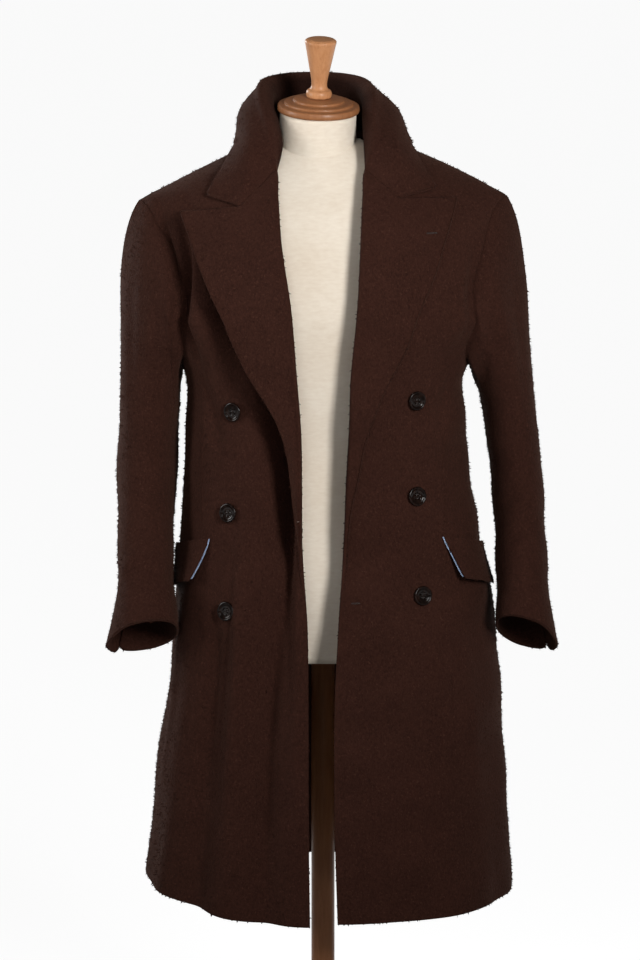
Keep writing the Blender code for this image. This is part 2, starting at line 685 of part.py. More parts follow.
def sleeve_pieces(side, material):
    """The top sleeve and the under sleeve, parted at the two seams and open at the vent above the cuff."""
    points, inward = sleeve_grid(side)
    count = points.shape[1]
    lengths = np.linalg.norm(np.diff(points[:, SEAM_AT_BACK], axis=0), axis=1)
    to_cuff = np.concatenate((np.cumsum(lengths[::-1])[::-1], (0,)))
    vent = np.clip(1 - to_cuff / VENT, 0, 1)[:, None]
    pieces = (("top", SEAM_AT_BACK - count, SEAM_AT_FRONT), ("under", SEAM_AT_FRONT, SEAM_AT_BACK))
    for name, first, last in pieces:
        columns = np.arange(first, last + 1) % count
        outer, into = points[:, columns].copy(), inward[:, columns]
        for edge, beside in ((0, 1), (-1, -2)):
            step = outer[:, beside] - outer[:, edge]
            move = SEAM / 2 / np.linalg.norm(step, axis=1, keepdims=True)
            at_vent = columns[edge] == SEAM_AT_BACK
            if at_vent and name == "under":
                move = np.maximum(move, VENT_SPREAD * vent)
            outer[:, edge] += step * move
            if at_vent and name == "top":
                outer[:, edge] -= into[:, edge] * VENT_FLARE * vent**2
                outer[:, beside] -= into[:, beside] * VENT_FLARE / 2 * vent**2
        wall(f"sleeve_{name}_{side}", outer, into, CLOTH, material)


def flap_wall(name, side, clear, thickness, peek, material):
    """A flap on the skirt: the panel's own points, moved out, and standing off towards its lower edge."""
    s = np.linspace(0, 1, FLAP_COLUMNS + 1)
    v = np.linspace(0, 1, FLAP_ROWS + 1)[:, None]
    front, back = FLAP_ENDS[side]
    start = front + FLAP_RAKE * v**FLAP_CURVE - peek
    turns = np.radians(start + (back - start) * s)
    front_top, back_top = FLAP_TOP[side]
    heights = front_top + (back_top - front_top) * s - FLAP_DEPTH * v
    hem = hem_height(side, turns)
    ways = (heights - hem) / (CHEST - hem)
    stand = FLAP_STAND * (v * (1 - s)) ** FLAP_SWELL
    points = body(side, turns, ways, clear + thickness + stand)
    return wall(name, points, -body_normal(side, turns, ways), thickness, material)


def button(name, side, reach, height, clear, material):
    """A dished button with a raised rim, its back just off the cloth."""
    turn, way = turn_and_way(side, reach, height)
    out = Vector(body_normal(side, turn, way))
    foot = Vector(body(side, turn, way, clear))
    place = Matrix.Translation(foot) @ out.to_track_quat("Z", "Y").to_matrix().to_4x4()
    r, h = BUTTON_RADIUS, BUTTON_HEIGHT
    profile = (
        (0.30 * r, 0.0), (0.55 * r, 0.08 * h), (0.94 * r, 0.42 * h), (r, 0.66 * h), (0.95 * r, 0.94 * h),
        (0.86 * r, h), (0.72 * r, 0.80 * h), (0.40 * r, 0.68 * h),
    )
    return turned(name, profile, BUTTON_SEGMENTS, material, place)


def form_torso(material):
    """The form's body: rings up to the chest, then shoulders closing along a line just under the cloth."""
    half_turns = np.linspace(0, math.pi / 2, FORM_COLUMNS // 2 + 1)
    turns = np.concatenate((half_turns, math.pi - half_turns[-2::-1]))
    turns = np.concatenate((turns, -turns[-2:0:-1]))
    low = np.linspace(0, 1, FORM_ROWS + 1)
    ways = np.concatenate((low, 1 + np.linspace(0, 1, FORM_SHOULDER_ROWS + 1)[1:]))[:, None]
    level = FORM_BOTTOM + np.minimum(ways, 1) * (CHEST - FORM_BOTTOM)
    climb = np.maximum(ways - 1, 0) * math.pi / 2
    grow = np.clip(ways - 1, 0, 1)
    half = smooth(level, FORM["height"], FORM["half"])
    half = half + (FORM_SHOULDER_HALF - half) * grow**2 * (3 - 2 * grow)
    front, back = (smooth(level, FORM["height"], FORM[end]) for end in ("front", "back"))
    across = half * power(np.sin(turns), 2 / SQUARE)
    depth = np.where(np.cos(turns) < 0, back, front)
    away = -depth * power(np.cos(turns), 2 / SQUARE) * np.cos(climb)
    right, left = (shoulder_height(side, across) for side in SIDES)
    top = np.where(across < 0, right, left) - FORM_UNDER_CLOTH
    height = level + (top - CHEST) * np.sin(climb)
    points = np.stack((across, away, height), axis=-1)
    points[-1, :, 1] = 0
    rows, columns = points.shape[:2]
    index = np.arange(rows * columns).reshape(rows, columns)
    after = np.roll(index, -1, axis=1)
    quads = np.stack((index[:-1], after[:-1], after[1:], index[1:]), axis=-1).reshape(-1, 4).tolist()
    mesh = mesh_from("form_body", points.reshape(-1, 3), quads + [index[0].tolist()])
    return make_object("form_body", mesh, material)


def neck_place(along):
    """A place on the tilted axis of the form's neck."""
    return (
        Matrix.Translation(NECK_FOOT)
        @ Matrix.Rotation(NECK_LEAN, 4, "Y")
        @ Matrix.Rotation(NECK_TILT, 4, "X")
        @ Matrix.Translation((0, 0, along))
    )


def dress_form(cloth, wood):
    """Torso and neck in one, a tiered wooden cap and finial on the neck, and a pole on a round base."""
    torso = form_torso(cloth)
    neck = turned("neck_shape", NECK_PROFILE, TURNED_SEGMENTS, cloth, neck_place(0))
    neck.hide_render = True
    neck.display_type = "WIRE"
    join = torso.modifiers.new("neck", "BOOLEAN")
    join.operation = "UNION"
    join.object = neck
    turned("form_cap", CAP_PROFILE, TURNED_SEGMENTS, wood, neck_place(NECK_LENGTH + SEAM))
    cap_top = CAP_PROFILE[-1][1]
    finial_place = neck_place(NECK_LENGTH + cap_top + 2 * SEAM)
    turned("form_finial", FINIAL_PROFILE, TURNED_SEGMENTS, wood, finial_place)
    base_top = BASE_PROFILE[-1][1]
    turned("form_base", BASE_PROFILE, 2 * TURNED_SEGMENTS, wood)
    pole = ((POLE_RADIUS, base_top + SEAM), (POLE_RADIUS, FORM_BOTTOM - SEAM))
    turned("form_pole", pole, TURNED_SEGMENTS, wood)


def build():
    for old in list(bpy.data.objects):
        bpy.data.objects.remove(old)
    wool = plain_material("brown_wool", (0.042, 0.018, 0.012), 0.9)
    flap_lining = plain_material("pale_blue_lining", (0.45, 0.55, 0.66), 0.45)
    horn = plain_material("dark_horn", (0.012, 0.006, 0.004), 0.25)
    canvas = plain_material("cream_canvas", (0.78, 0.70, 0.58), 0.85)
    wood = plain_material("turned_wood", (0.42, 0.20, 0.09), 0.35)
    for side in SIDES:
        front_panel(side, wool)
        back_panel(side, wool)
        lapel(side, wool)
        sleeve_pieces(side, wool)
        flap_wall(f"flap_lining_{side}", side, FLAP_CLEAR, LINING, LINING_PEEK, flap_lining)
        flap_wall(f"pocket_flap_{side}", side, FLAP_CLEAR + LINING + SEAM, CLOTH, 0.0, wool)
        for row, place in enumerate(zip(*BUTTONS[side].values()), start=1):
            button(f"button_{side}_{row}", side, *place, horn)
    collar(wool)
    dress_form(canvas, wood)


build()
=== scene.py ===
"""The look of a dark brown wool overcoat, worn open on a limbless dress form.

Metres, +Z up, the coat's front towards -Y, the wearer's left at +X. Every cloth piece is a thin shell on the
form of its solid, worked out more finely, with the creases and the nap that the solid leaves out.
"""
import math

import bpy
import numpy as np
from mathutils import Matrix, Vector


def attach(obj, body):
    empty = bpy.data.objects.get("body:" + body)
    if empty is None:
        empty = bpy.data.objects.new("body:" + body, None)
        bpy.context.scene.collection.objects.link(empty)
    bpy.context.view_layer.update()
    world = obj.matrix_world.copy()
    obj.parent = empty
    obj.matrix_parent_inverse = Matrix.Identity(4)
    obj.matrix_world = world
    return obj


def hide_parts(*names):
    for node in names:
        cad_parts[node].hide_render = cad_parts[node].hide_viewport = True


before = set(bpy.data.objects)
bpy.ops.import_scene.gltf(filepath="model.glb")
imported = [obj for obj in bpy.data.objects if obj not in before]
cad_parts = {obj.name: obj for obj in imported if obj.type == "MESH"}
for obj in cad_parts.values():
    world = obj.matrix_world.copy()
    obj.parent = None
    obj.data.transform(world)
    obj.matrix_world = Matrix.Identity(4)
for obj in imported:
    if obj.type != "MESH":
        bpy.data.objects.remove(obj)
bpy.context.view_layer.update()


# The studio: a white paper floor that glows by itself as painted light, dim ahead of the stand and round it
# as painted shade, and bright behind it and far away. The main soft box is ahead on the wearer's left, weaker
# ones are ahead on the right and at the right side, and another is behind on the right. A long lens looks a
# little down.
FLOOR_REACH = 60.0
FLOOR_WHITE = 0.40
FLOOR_GLOW = 0.92
FLOOR_DIM = 0.12
FLOOR_BRIGHT_BEHIND = (0.3, 1.3)
FLOOR_BRIGHT_AWAY = (4.0, 8.0)
ROOM_LIGHT = 0.08


class Shade:
    """A value on its way to a shader: operators add Math nodes, and node() adds any other node."""

    def __init__(self, tree, socket=None):
        self.tree = tree
        self.socket = socket

    def node(self, kind, settings, sockets, output=0):
        """Adds a node of a type with its settings, then fills its sockets, and returns one output."""
        made = self.tree.nodes.new(kind)
        for setting, value in settings.items():
            setattr(made, setting, value)
        for socket, value in sockets.items():
            if isinstance(value, Shade):
                self.tree.links.new(value.socket, made.inputs[socket])
            else:
                made.inputs[socket].default_value = value
        return Shade(self.tree, made.outputs[output])

    def maths(self, operation, first, second):
        """A Math node on two values."""
        return self.node("ShaderNodeMath", {"operation": operation}, {0: first, 1: second})

    def __add__(self, other):
        return self.maths("ADD", self, other)

    def __sub__(self, other):
        return self.maths("SUBTRACT", self, other)

    def __rsub__(self, other):
        return self.maths("SUBTRACT", other, self)

    def __mul__(self, other):
        return self.maths("MULTIPLY", self, other)

    __radd__ = __add__
    __rmul__ = __mul__

    def noise(self, size, stretch=(1, 1, 1), detail=2.0):
        """Soft noise with lumps of a size in metres, drawn out along the axes by stretch."""
        scale = tuple(1 / (size * s) for s in stretch)
        place = self.node("ShaderNodeMapping", {}, {"Vector": self, "Scale": scale})
        return self.node("ShaderNodeTexNoise", {}, {"Vector": place, "Scale": 1.0, "Detail": detail})

    def step(self, low, high):
        """0 below low, 1 above high, and a straight rise between."""
        limits = {"Value": self, "From Min": low, "From Max": high}
        return self.node("ShaderNodeMapRange", {"clamp": True}, limits)

    def mix(self, first, second):
        """Two colours mixed by this value."""
        settings = {"data_type": "RGBA", "blend_type": "MIX"}
        return self.node("ShaderNodeMix", settings, {0: self, 6: first, 7: second}, output=2)


def finish(name, **constants):
    """A new material: its starting point for expressions, on Object coordinates, and its shader."""
    material = bpy.data.materials.new(name)
    material.use_nodes = True
    tree = material.node_tree
    shader = tree.nodes["Principled BSDF"]
    for socket, value in constants.items():
        shader.inputs[socket.replace("_", " ")].default_value = value
    place = Shade(tree).node("ShaderNodeTexCoord", {}, {}, output="Object")
    return material, place, shader


def feed(shader, socket, value):
    """Links a value to a socket of a shader."""
    value.tree.links.new(value.socket, shader.inputs[socket])


def painted_glow_paper():
    """White paper that glows by itself as painted light: dim ahead of the stand and round it as painted
    shade, bright behind and far away.
    """
    white = (FLOOR_WHITE, FLOOR_WHITE, FLOOR_WHITE, 1)
    material, place, shader = finish(
        "painted_glow_paper", Base_Color=white, Roughness=1.0, Specular_IOR_Level=0.0, Emission_Strength=FLOOR_GLOW
    )
    behind = place.node("ShaderNodeSeparateXYZ", {}, {"Vector": place}, output="Y")
    dim = (FLOOR_DIM, FLOOR_DIM, FLOOR_DIM, 1)
    away = place.node("ShaderNodeVectorMath", {"operation": "LENGTH"}, {0: place}, output="Value")
    bright = place.maths("MAXIMUM", behind.step(*FLOOR_BRIGHT_BEHIND), away.step(*FLOOR_BRIGHT_AWAY))
    # Painted light and shade: the floor's glow is dim round the stand and bright behind it and far away.
    feed(shader, "Emission Color", bright.mix(dim, (1, 1, 1, 1)))
    return material


floor_corners = [(x * FLOOR_REACH, y * FLOOR_REACH, 0.0) for x, y in ((-1, -1), (1, -1), (1, 1), (-1, 1))]
floor_mesh = bpy.data.meshes.new("floor")
floor_mesh.from_pydata(floor_corners, [], [(0, 1, 2, 3)])
floor_mesh.materials.append(painted_glow_paper())
floor = bpy.data.objects.new("floor", floor_mesh)
bpy.context.collection.objects.link(floor)

room = bpy.data.worlds.new("room")
room.use_nodes = True
room.node_tree.nodes["Background"].inputs["Color"].default_value = (1, 1, 1, 1)
room.node_tree.nodes["Background"].inputs["Strength"].default_value = ROOM_LIGHT
bpy.context.scene.world = room
bpy.context.scene.view_settings.view_transform = "Standard"

LIGHT_AIM = Vector((-0.20, 0.0, 1.38))
SOFT_BOXES = {
    "key": ((1.15, -2.4, 2.0), 0.5, 1.0, 75.0, 11.6),
    "fill": ((-0.60, -2.7, 2.35), 0.7, 1.2, 70.0, 1.7),
    "side": ((-2.4, -0.55, 1.8), 0.6, 1.2, 65.0, 4.4),
    "back": ((-1.9, 2.2, 2.1), 0.7, 1.3, 80.0, 10.0),
}
for name, (place, width, height, spread, watts) in SOFT_BOXES.items():
    lamp = bpy.data.lights.new(name, "AREA")
    lamp.shape = "RECTANGLE"
    lamp.size, lamp.size_y = width, height
    lamp.spread = math.radians(spread)
    lamp.energy = watts
    soft_box = bpy.data.objects.new(name, lamp)
    soft_box.location = place
    soft_box.rotation_euler = (LIGHT_AIM - Vector(place)).to_track_quat("-Z", "Y").to_euler()
    bpy.context.collection.objects.link(soft_box)

VIEW_AIM = Vector((-0.0041, 0.0, 1.0324))
VIEW_DISTANCE = 6.0
VIEW_PITCH = math.radians(9.0)
PHOTO_ROWS, PIXEL = 960, 0.00136
VIEW_HEIGHT = PHOTO_ROWS * PIXEL
SENSOR = 36.0
lens = bpy.data.cameras.new("camera")
lens.sensor_width = SENSOR
lens.lens = SENSOR * VIEW_DISTANCE / VIEW_HEIGHT
camera = bpy.data.objects.new("camera", lens)
view_from = Vector((0, -math.cos(VIEW_PITCH), math.sin(VIEW_PITCH))) * VIEW_DISTANCE
camera.location = VIEW_AIM + view_from
camera.rotation_euler = (-view_from).to_track_quat("-Z", "Y").to_euler()
bpy.context.collection.objects.link(camera)
bpy.context.scene.camera = camera


# The stand, cap and finial of the dress form: beech turned on a lathe and varnished, with the cap, base and
# pole in darker browns than the finial. The cap sits on the neck in three tiers, the finial is glued into it,
# and the pole stands in the round base.
TURNED_SEGMENTS = 96
CURVE_STEPS = 6
SEAM = 0.0003
NECK_TILT = math.radians(10.0)
NECK_LEAN = math.radians(2.0)
NECK_FOOT = (-0.010, 0.004, 1.430)
NECK_LENGTH = 0.106
CAP_PROFILE = (
    (0.0500, 0.0), (0.0540, 0.0006), (0.0550, 0.0022), (0.0550, 0.0066), (0.0541, 0.0088),
    (0.0515, 0.0096), (0.0470, 0.0104), (0.0463, 0.0110), (0.0458, 0.0126), (0.0440, 0.0134),
    (0.0356, 0.0143), (0.0346, 0.0149), (0.0341, 0.0166), (0.0322, 0.0175), (0.0220, 0.0190),
)
FINIAL_PROFILE = (
    (0.0150, 0.0), (0.0166, 0.0012), (0.0172, 0.0038), (0.0170, 0.0070), (0.0158, 0.0096),
    (0.0124, 0.0118), (0.0108, 0.0150), (0.0105, 0.0185), (0.0110, 0.0240), (0.0142, 0.0402),
    (0.0175, 0.0568), (0.0206, 0.0725), (0.0212, 0.0752), (0.0210, 0.0772), (0.0196, 0.0786),
    (0.0100, 0.0803), (0.0020, 0.0806),
)
POLE_RADIUS = 0.016
FORM_BOTTOM = 0.800
BASE_PROFILE = (
    (0.192, 0.0), (0.198, 0.0012), (0.200, 0.0045), (0.200, 0.0150), (0.198, 0.0190), (0.193, 0.0212),
    (0.120, 0.0252), (0.060, 0.0290), (0.046, 0.0315), (0.039, 0.0360), (0.035, 0.0500), (0.032, 0.0545),
    (0.026, 0.0560),
)
PALE_BROWNS = (0.400, 0.165, 0.062, 1), (0.580, 0.285, 0.135, 1)
DARKER_BROWNS = (0.220, 0.082, 0.030, 1), (0.350, 0.150, 0.062, 1)
PORE_BROWN = (0.190, 0.066, 0.021, 1)


def raise_bump(shader, height, distance, strength):
    """Lifts the surface in the light by a height from 0 to 1 times a distance."""
    inputs = {"Height": height, "Distance": distance, "Strength": strength}
    feed(shader, "Normal", height.node("ShaderNodeBump", {}, inputs))


def varnished_wood(name, dark, light):
    """Streaks along the axis in two browns, short dark pores, and a thin clear coat."""
    material, place, shader = finish(name, Coat_Weight=0.08, Coat_Roughness=0.2, Specular_IOR_Level=0.25)
    streaks = place.noise(0.004, stretch=(1, 1, 9), detail=4.0)
    clouds = place.noise(0.045, detail=1.0)
    pores = place.noise(0.0012, stretch=(1, 1, 5)).step(0.60, 0.72)
    tone = (streaks * 0.75 + clouds * 0.35).step(0.25, 0.88)
    wood = tone.mix(dark, light)
    feed(shader, "Base Color", (pores * 0.35).mix(wood, PORE_BROWN))
    feed(shader, "Roughness", streaks * 0.16 + 0.32)
    raise_bump(shader, 1 - pores * 0.7, 0.0003, 0.35)
    return material


def smooth(at, stops, values):
    """Reads a curve through the stops as cubic pieces whose slopes are averaged between neighbours."""
    stops, values = np.asarray(stops, float), np.asarray(values, float)
    slopes = np.gradient(values, stops, axis=0)
    at = np.clip(at, stops[0], stops[-1])
    k = np.clip(np.searchsorted(stops, at, side="right") - 1, 0, len(stops) - 2)
    step = stops[k + 1] - stops[k]
    f = (at - stops[k]) / step
    trailing = np.shape(f) + (1,) * (values.ndim - 1)
    f, step = np.reshape(f, trailing), np.reshape(step, trailing)
    start = values[k] * (1 + 2 * f) * (1 - f) ** 2 + slopes[k] * step * f * (1 - f) ** 2
    return start + values[k + 1] * f**2 * (3 - 2 * f) + slopes[k + 1] * step * f**2 * (f - 1)


def put_mesh(name, points, faces, material):
    """A smooth-shaded object at the origin with its place in its mesh."""
    mesh = bpy.data.meshes.new(name)
    mesh.from_pydata(points.reshape(-1, 3).tolist(), [], faces)
    mesh.shade_smooth()
    mesh.materials.append(material)
    piece = bpy.data.objects.new(name, mesh)
    bpy.context.collection.objects.link(piece)
    return piece


def put_piece(name, points, faces, material, slot, *nodes):
    """A piece on the one body, in a material, in place of its nodes; slot is not used."""
    piece = put_mesh(name, points, faces, material)
    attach(piece, "root")
    if nodes:
        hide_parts(*nodes)
    return piece


def ring_faces(rings):
    """Faces of a stack of closed rings, with one face at each end."""
    rows, columns = rings.shape[:2]
    index = np.arange(rows * columns).reshape(rows, columns)
    after = np.roll(index, -1, axis=1)
    quads = np.stack((index[:-1], after[:-1], after[1:], index[1:]), axis=-1).reshape(-1, 4).tolist()
    return quads + [index[0][::-1].tolist(), index[-1].tolist()]


def turned(profile, place=Matrix.Identity(4)):
    """Rings of a lathe shape: a smooth curve through (radius, height) points, spun round its axis."""
    profile = np.array(profile)
    lengths = np.concatenate(((0,), np.cumsum(np.linalg.norm(np.diff(profile, axis=0), axis=1))))
    spans = np.arange(len(profile))
    fine = np.interp(np.linspace(0, spans[-1], spans[-1] * CURVE_STEPS + 1), spans, lengths)
    radius, height = smooth(fine, lengths, profile).T
    angles = np.arange(TURNED_SEGMENTS) * 2 * math.pi / TURNED_SEGMENTS
    across, away = radius[:, None] * np.cos(angles), radius[:, None] * np.sin(angles)
    points = np.stack((across, away, height[:, None] + 0 * angles), axis=-1)
    return points @ np.array(place.to_3x3()).T + np.array(place.translation)


def neck_place(along):
    """A place on the tilted axis of the form's neck."""
    tilt = Matrix.Rotation(NECK_LEAN, 4, "Y") @ Matrix.Rotation(NECK_TILT, 4, "X")
    return Matrix.Translation(NECK_FOOT) @ tilt @ Matrix.Translation((0, 0, along))


pale_wood = varnished_wood("pale_wood", *PALE_BROWNS)
# The cap, base and pole take a darker copy of the same wood.
darker_wood = varnished_wood("darker_wood", *DARKER_BROWNS)
cap_foot = NECK_LENGTH + SEAM
finial_foot = cap_foot + CAP_PROFILE[-1][1] + SEAM
pole_profile = ((POLE_RADIUS, BASE_PROFILE[-1][1] + SEAM), (POLE_RADIUS, FORM_BOTTOM - SEAM))
TURNED_PIECES = {
    "base": (turned(BASE_PROFILE), darker_wood),
    "pole": (turned(pole_profile), darker_wood),
    "cap": (turned(CAP_PROFILE, neck_place(cap_foot)), darker_wood),
    "finial": (turned(FINIAL_PROFILE, neck_place(finial_foot)), pale_wood),
}
for name, (rings, wood) in TURNED_PIECES.items():
    put_piece(f"turned_{name}", rings, ring_faces(rings), wood, "turned_wood", f"form_{name}")


# The dress form's body: a hollow torso and neck covered in tight cream canvas, without limbs. It stands on
# the pole, and its shoulders carry the coat just under the cloth.
SIDES = {"right": -1, "left": 1}
SQUARE = 2.3
CHEST = 1.260
NECK_HALF = 0.085
NECK_HEIGHT = 1.495
SHOULDER_SLOPE = {"right": 0.45, "left": 0.33}
SHOULDER_CURVE = {"right": 0.30, "left": 0.80}
FORM_SHOULDER_HALF = 0.205
FORM_UNDER_CLOTH = 0.0052
FORM_COLUMNS = 128
FORM_ROWS = 60
FORM_SHOULDER_ROWS = 36
NECK_SWEEP, NECK_SWEEP_UNDER_CLOTH = 0.022, 0.008
NECK_SWEEP_REACH = 0.050
NECK_SWEEP_REACH_UNDER_CLOTH = 0.018
NECK_BARE_SHARPNESS = 4
NECK_PROFILE = ((0.060, 0.0), (0.057, 0.030), (0.0525, 0.065), (0.0510, NECK_LENGTH))
CANVAS_CREAMS = (0.690, 0.585, 0.465, 1), (0.800, 0.715, 0.600, 1)
THREADS_AROUND, THREADS_UP = 900.0, 5600.0


def table(columns, *rows):
    """A short table as a dictionary of its named columns."""
    return dict(zip(columns.split(), np.array(rows, float).T))


FORM = table(
    "height half front back",
    (0.800, 0.160, 0.112, 0.112),
    (0.900, 0.170, 0.124, 0.120),
    (1.000, 0.158, 0.112, 0.100),
    (1.100, 0.146, 0.104, 0.088),
    (1.190, 0.158, 0.114, 0.098),
    (1.260, 0.178, 0.122, 0.110),
)


def tight_canvas():
    """A plain weave of two sets of threads, round the form and up it, with faint slubs."""
    material, place, shader = finish("tight_canvas", Sheen_Weight=0.08, Sheen_Roughness=0.6)
    across, away, up = (
        place.node("ShaderNodeSeparateXYZ", {}, {"Vector": place}, output=axis) for axis in "XYZ"
    )
    around = across.maths("ARCTAN2", across, away) * THREADS_AROUND
    weave = around.maths("SINE", around, 0.0) * up.maths("SINE", up * THREADS_UP, 0.0) * 0.5 + 0.5
    slubs = place.noise(0.0035, stretch=(3, 3, 1), detail=3.0)
    stains = place.noise(0.09, detail=2.0)
    tone = (slubs * 0.5 + stains * 0.5).step(0.30, 0.70)
    feed(shader, "Base Color", tone.mix(*CANVAS_CREAMS))
    feed(shader, "Roughness", slubs * 0.15 + 0.72)
    raise_bump(shader, weave * 0.6 + slubs * 0.4, 0.0004, 0.30)
    return material


def power(value, exponent):
    """A power that keeps the sign."""
    return np.sign(value) * np.abs(value) ** exponent


def shoulder_height(side, reach):
    """Height of the shoulder line, which falls from the neck point a little steeper all the way."""
    past = np.maximum(np.abs(reach) - NECK_HALF, 0)
    return NECK_HEIGHT - SHOULDER_SLOPE[side] * past - SHOULDER_CURVE[side] * past**2


def form_torso():
    """Rings of the torso: soft ovals up to the chest, then quarter ellipses closing to the shoulder line.

    Near the neck the surface sweeps up towards it, by a square law of the distance left to the neck, from
    further off at the bare throat than under the cloth.
    """
    turns = np.arange(FORM_COLUMNS) * 2 * math.pi / FORM_COLUMNS
    low, high = np.linspace(0, 1, FORM_ROWS + 1), np.linspace(0, 1, FORM_SHOULDER_ROWS + 1)[1:]
    ways = np.concatenate((low, 1 + high))[:, None]
    level = FORM_BOTTOM + np.minimum(ways, 1) * (CHEST - FORM_BOTTOM)
    grow = np.clip(ways - 1, 0, 1)
    climb = grow * math.pi / 2
    half = smooth(level, FORM["height"], FORM["half"])
    half = half + (FORM_SHOULDER_HALF - half) * grow**2 * (3 - 2 * grow)
    front, back = (smooth(level, FORM["height"], FORM[end]) for end in ("front", "back"))
    across = half * power(np.sin(turns), 2 / SQUARE)
    depth = np.where(np.cos(turns) < 0, back, front)
    away = -depth * power(np.cos(turns), 2 / SQUARE) * np.cos(climb)
    right, left = (shoulder_height(side, across) for side in SIDES)
    top = np.where(across < 0, right, left) - FORM_UNDER_CLOTH
    height = level + (top - CHEST) * np.sin(climb)
    up_neck = height - NECK_FOOT[2]
    sideways = across - NECK_FOOT[0] - up_neck * math.tan(NECK_LEAN)
    forward = NECK_FOOT[1] - up_neck * math.tan(NECK_TILT) - away
    from_axis = np.hypot(sideways, forward)
    gap = np.maximum(from_axis - NECK_PROFILE[1][0], 0)
    bare = np.clip(forward / from_axis, 0, 1) ** NECK_BARE_SHARPNESS
    reach = NECK_SWEEP_REACH_UNDER_CLOTH + (NECK_SWEEP_REACH - NECK_SWEEP_REACH_UNDER_CLOTH) * bare
    rise = NECK_SWEEP_UNDER_CLOTH + (NECK_SWEEP - NECK_SWEEP_UNDER_CLOTH) * bare
    height = height + rise * np.clip(1 - gap / reach, 0, 1) ** 2 * grow
    return np.stack((across, away, height), axis=-1)


canvas = tight_canvas()
torso_rings = form_torso()
torso_faces = ring_faces(torso_rings)
put_piece("form_torso", torso_rings, torso_faces, canvas, "cream_canvas", "form_body")
neck_rings = turned(NECK_PROFILE, neck_place(0))
put_piece("form_neck", neck_rings, ring_faces(neck_rings), canvas, "cream_canvas")


# The body of the coat: two fronts and two backs of thick napped wool, joined at the sides, the shoulders and
# the centre back. They hang from the shoulders in soft folds, and the seams are pressed open.
CLOTH = 0.003
EDGE_STEPS = 5
HEM = 0.456
ARMPIT = 1.195
BODY = table(
    "height right left front back",
    (0.456, 0.242, 0.259, 0.200, 0.186),
    (0.530, 0.236, 0.255, 0.196, 0.180),
    (0.650, 0.222, 0.249, 0.187, 0.169),
    (0.770, 0.207, 0.240, 0.179, 0.158),
    (0.890, 0.198, 0.226, 0.168, 0.146),
    (0.990, 0.190, 0.208, 0.157, 0.129),
    (1.100, 0.185, 0.192, 0.149, 0.118),
    (1.190, 0.191, 0.195, 0.153, 0.126),
    (1.260, 0.232, 0.232, 0.157, 0.136),
)
HEM_FRONT_LIFT = {"right": 0.002, "left": 0.006}
HEM_SIDE_LIFT = {"right": 0.034, "left": 0.010}
HEM_BACK_LIFT = 0.012
NECK_BACK = 0.075
SHOULDER_HALF = 0.246
FRONT_EDGE = table(
    "height right left",
    (0.456, 0.0172, 0.0195),
    (0.600, 0.0190, 0.0152),
    (0.760, 0.0195, 0.0155),
    (0.860, 0.0205, 0.0200),
    (0.960, 0.0270, 0.0265),
    (1.050, 0.0277, 0.0300),
    (1.120, 0.0290, 0.0335),
    (1.190, 0.0340, 0.0360),
    (1.290, 0.0425, 0.0450),
    (1.370, 0.0545, 0.0490),
    (1.430, 0.0590, 0.0520),
    (1.460, 0.0610, 0.0550),
    (1.495, 0.0850, 0.0850),
)
ARMHOLE = table(
    "share front back",
    (0.00, 90.0, 90.0),
    (0.15, 74.0, 106.0),
    (0.35, 64.0, 115.0),
    (0.60, 58.0, 120.0),
    (0.80, 61.0, 118.0),
    (0.93, 75.0, 108.0),
    (1.00, 95.0, 95.0),
)
FOLD_FADE = 0.8
FOLDS = {
    "right": table(
        "hem_angle top_angle top width depth",
        (15.5, 18.5, 0.93, 4.8, -0.011),
        (29.0, 31.0, 1.02, 6.0, 0.007),
        (43.0, 42.0, 0.98, 6.0, -0.012),
        (60.0, 58.0, 0.96, 8.0, 0.007),
        (118.0, 112.0, 0.95, 9.0, -0.010),
        (142.0, 138.0, 1.00, 9.0, 0.008),
        (163.0, 160.0, 0.90, 6.0, -0.009),
    ),
    "left": table(
        "hem_angle top_angle top width depth",
        (18.0, 17.0, 0.80, 7.0, -0.003),
        (40.0, 38.0, 0.90, 9.0, 0.004),
        (68.0, 64.0, 0.86, 9.0, -0.005),
        (112.0, 108.0, 0.98, 9.0, 0.008),
        (134.0, 130.0, 0.92, 8.0, -0.010),
        (158.0, 156.0, 0.98, 8.0, 0.007),
    ),
}
DEGREE = 0.0036
CREASE_FADE = 1.1
EDGE_FLAT, EDGE_FADE = 7.5, 3.0
CREASES = {
    "right": table(
        "angle height end_angle end_height width depth",
        (57.5, 1.435, 58.5, 1.200, 0.026, -0.0140),
        (63.0, 1.425, 61.0, 1.215, 0.009, -0.0080),
        (50.0, 1.420, 55.0, 1.190, 0.012, -0.0190),
        (60.0, 1.205, 44.0, 1.070, 0.015, -0.0060),
        (36.0, 1.040, 37.5, 0.600, 0.010, -0.0040),
        (31.0, 0.940, 31.5, 0.540, 0.013, 0.0065),
        (19.0, 0.880, 17.5, 0.480, 0.014, -0.0090),
        (44.5, 0.900, 43.5, 0.600, 0.014, -0.0080),
        (70.0, 0.880, 72.0, 0.600, 0.014, 0.0030),
        (118.0, 1.330, 140.0, 1.210, 0.018, -0.0035),
        (104.0, 1.135, 146.0, 1.100, 0.012, -0.0040),
        (100.0, 1.085, 132.0, 1.055, 0.010, 0.0026),
        (150.0, 1.420, 158.0, 1.300, 0.016, -0.0022),
    ),
    "left": table(
        "angle height end_angle end_height width depth",
        (57.0, 1.380, 54.0, 1.235, 0.013, -0.0040),
        (50.0, 1.360, 49.0, 1.210, 0.013, 0.0022),
        (60.0, 1.195, 50.0, 1.090, 0.014, -0.0028),
        (30.0, 1.000, 33.0, 0.620, 0.012, -0.0012),
        (52.0, 0.880, 54.0, 0.560, 0.016, 0.0018),
        (116.0, 1.340, 136.0, 1.225, 0.017, -0.0032),
        (102.0, 1.120, 140.0, 1.095, 0.013, -0.0038),
        (106.0, 1.065, 150.0, 1.045, 0.010, 0.0024),
        (154.0, 1.410, 150.0, 1.290, 0.018, -0.0024),
    ),
}
HOLLOW_SIDE = "right"
